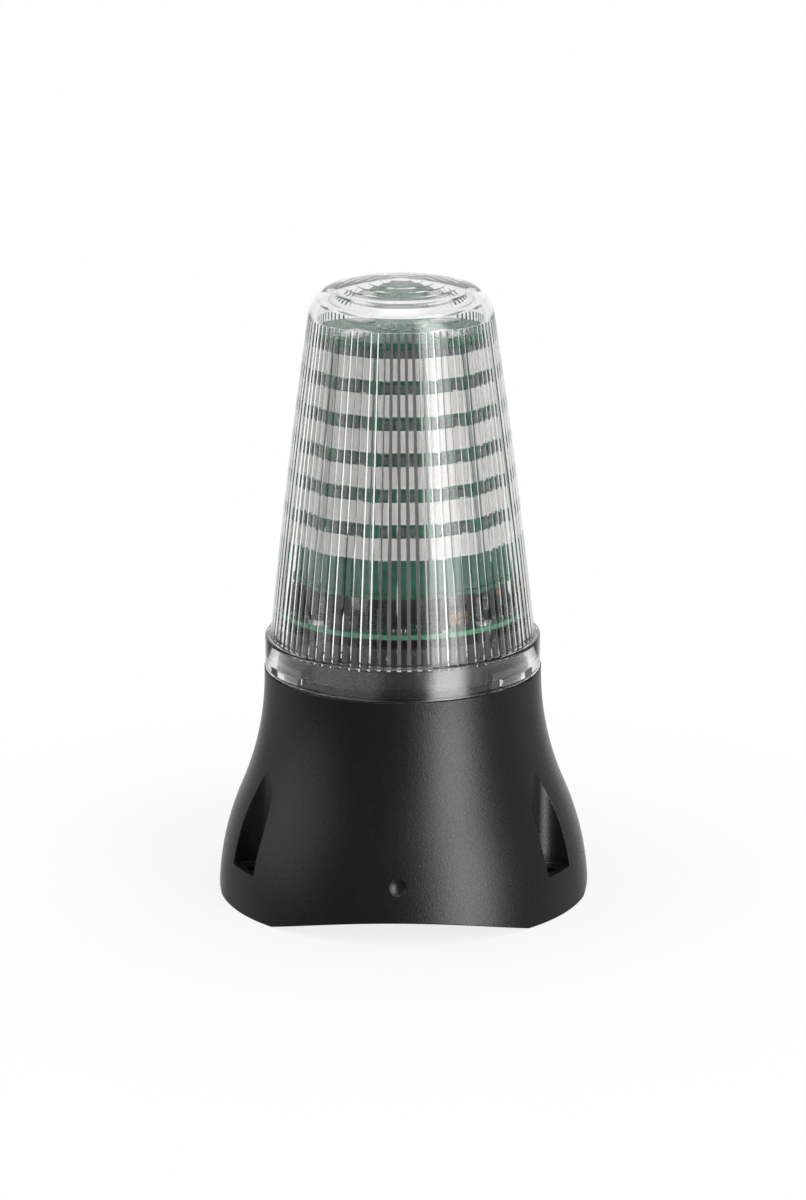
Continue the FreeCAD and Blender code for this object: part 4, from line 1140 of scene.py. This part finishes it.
    def softbox(self, name, watts, azimuth, elevation, width, height):
        """Area lamp that faces the middle of the object and fades out towards its two sides."""
        lamp = bpy.data.lights.new(name, "AREA")
        lamp.shape = "RECTANGLE"
        lamp.size = width
        lamp.size_y = height
        lamp.energy = watts
        lamp.use_nodes = True
        tree = lamp.node_tree
        place = add_node(tree, "ShaderNodeNewGeometry").outputs["Parametric"]
        across = add_node(tree, "ShaderNodeSeparateXYZ", links={"Vector": place})
        inward = add_node(tree, "ShaderNodeMath", {"operation": "PINGPONG"}, {1: 0.5},
                          {0: across.outputs["X"]})
        cloth = add_node(tree, "ShaderNodeMapRange", {"interpolation_type": "SMOOTHSTEP"},
                         {"From Max": self.softbox_fade}, {"Value": inward})
        connect(tree, tree.nodes["Emission"], {"Strength": cloth})
        self.stand(name, lamp, self.softbox_distance, math.radians(azimuth), math.radians(elevation),
                   self.softbox_aim)

    def camera(self, stage):
        """Camera at the photograph's view."""
        data = bpy.data.cameras.new("studio_camera")
        data.lens = stage.focal_length
        data.sensor_width = 36.0
        data.shift_x = stage.side_shift
        camera = self.stand("studio_camera", data, stage.distance, stage.azimuth, stage.pitch,
                            stage.look_height)
        camera.rotation_euler.rotate_axis("Z", stage.roll)
        bpy.context.scene.camera = camera

    def execute(self, context):
        stage = context.scene.beacon_stage
        self.floor()
        self.surroundings()
        # Azimuth and elevation in degrees, then width and height in metres.
        self.softbox("softbox_right", stage.key_power, 40.0, 8.0, 1.0, 1.7)
        self.softbox("softbox_left", stage.fill_power, -80.0, 20.0, 1.7, 1.2)
        self.softbox("softbox_top", stage.top_power, 0.0, 88.0, 1.0, 1.0)
        self.camera(stage)
        context.scene.view_settings.view_transform = "Standard"
        return {"FINISHED"}


class BEACON_PT_sidebar(bpy.types.Panel):
    """Lists the steps that model the beacon"""
    bl_idname = "BEACON_PT_sidebar"
    bl_label = "Sounder beacon"
    bl_space_type = "VIEW_3D"
    bl_region_type = "UI"
    bl_category = "Beacon"

    def draw(self, context):
        for operator in OPERATORS:
            self.layout.operator(operator.bl_idname)


GROUPS = {"beacon_lens": BeaconLensSizes, "beacon_base": BeaconBaseSizes, "beacon_tower": BeaconTowerSizes,
          "beacon_finishes": BeaconFinishes, "beacon_stage": BeaconStageSettings}
OPERATORS = (BEACON_OT_lens, BEACON_OT_base, BEACON_OT_lights, BEACON_OT_board_parts, BEACON_OT_finishes,
             BEACON_OT_stage)


def register():
    for group in GROUPS.values():
        bpy.utils.register_class(group)
    for name, group in GROUPS.items():
        setattr(bpy.types.Scene, name, PointerProperty(type=group))
    for operator in OPERATORS:
        bpy.utils.register_class(operator)
    bpy.utils.register_class(BEACON_PT_sidebar)


def unregister():
    bpy.utils.unregister_class(BEACON_PT_sidebar)
    for operator in reversed(OPERATORS):
        bpy.utils.unregister_class(operator)
    for name in GROUPS:
        delattr(bpy.types.Scene, name)
    for group in GROUPS.values():
        bpy.utils.unregister_class(group)


def main():
    register()
    bpy.ops.beacon.lens()
    bpy.ops.beacon.base()
    bpy.ops.beacon.lights()
    bpy.ops.beacon.board_parts()
    bpy.ops.beacon.finishes()
    bpy.ops.beacon.stage()


if __name__ == "__main__":
    main()
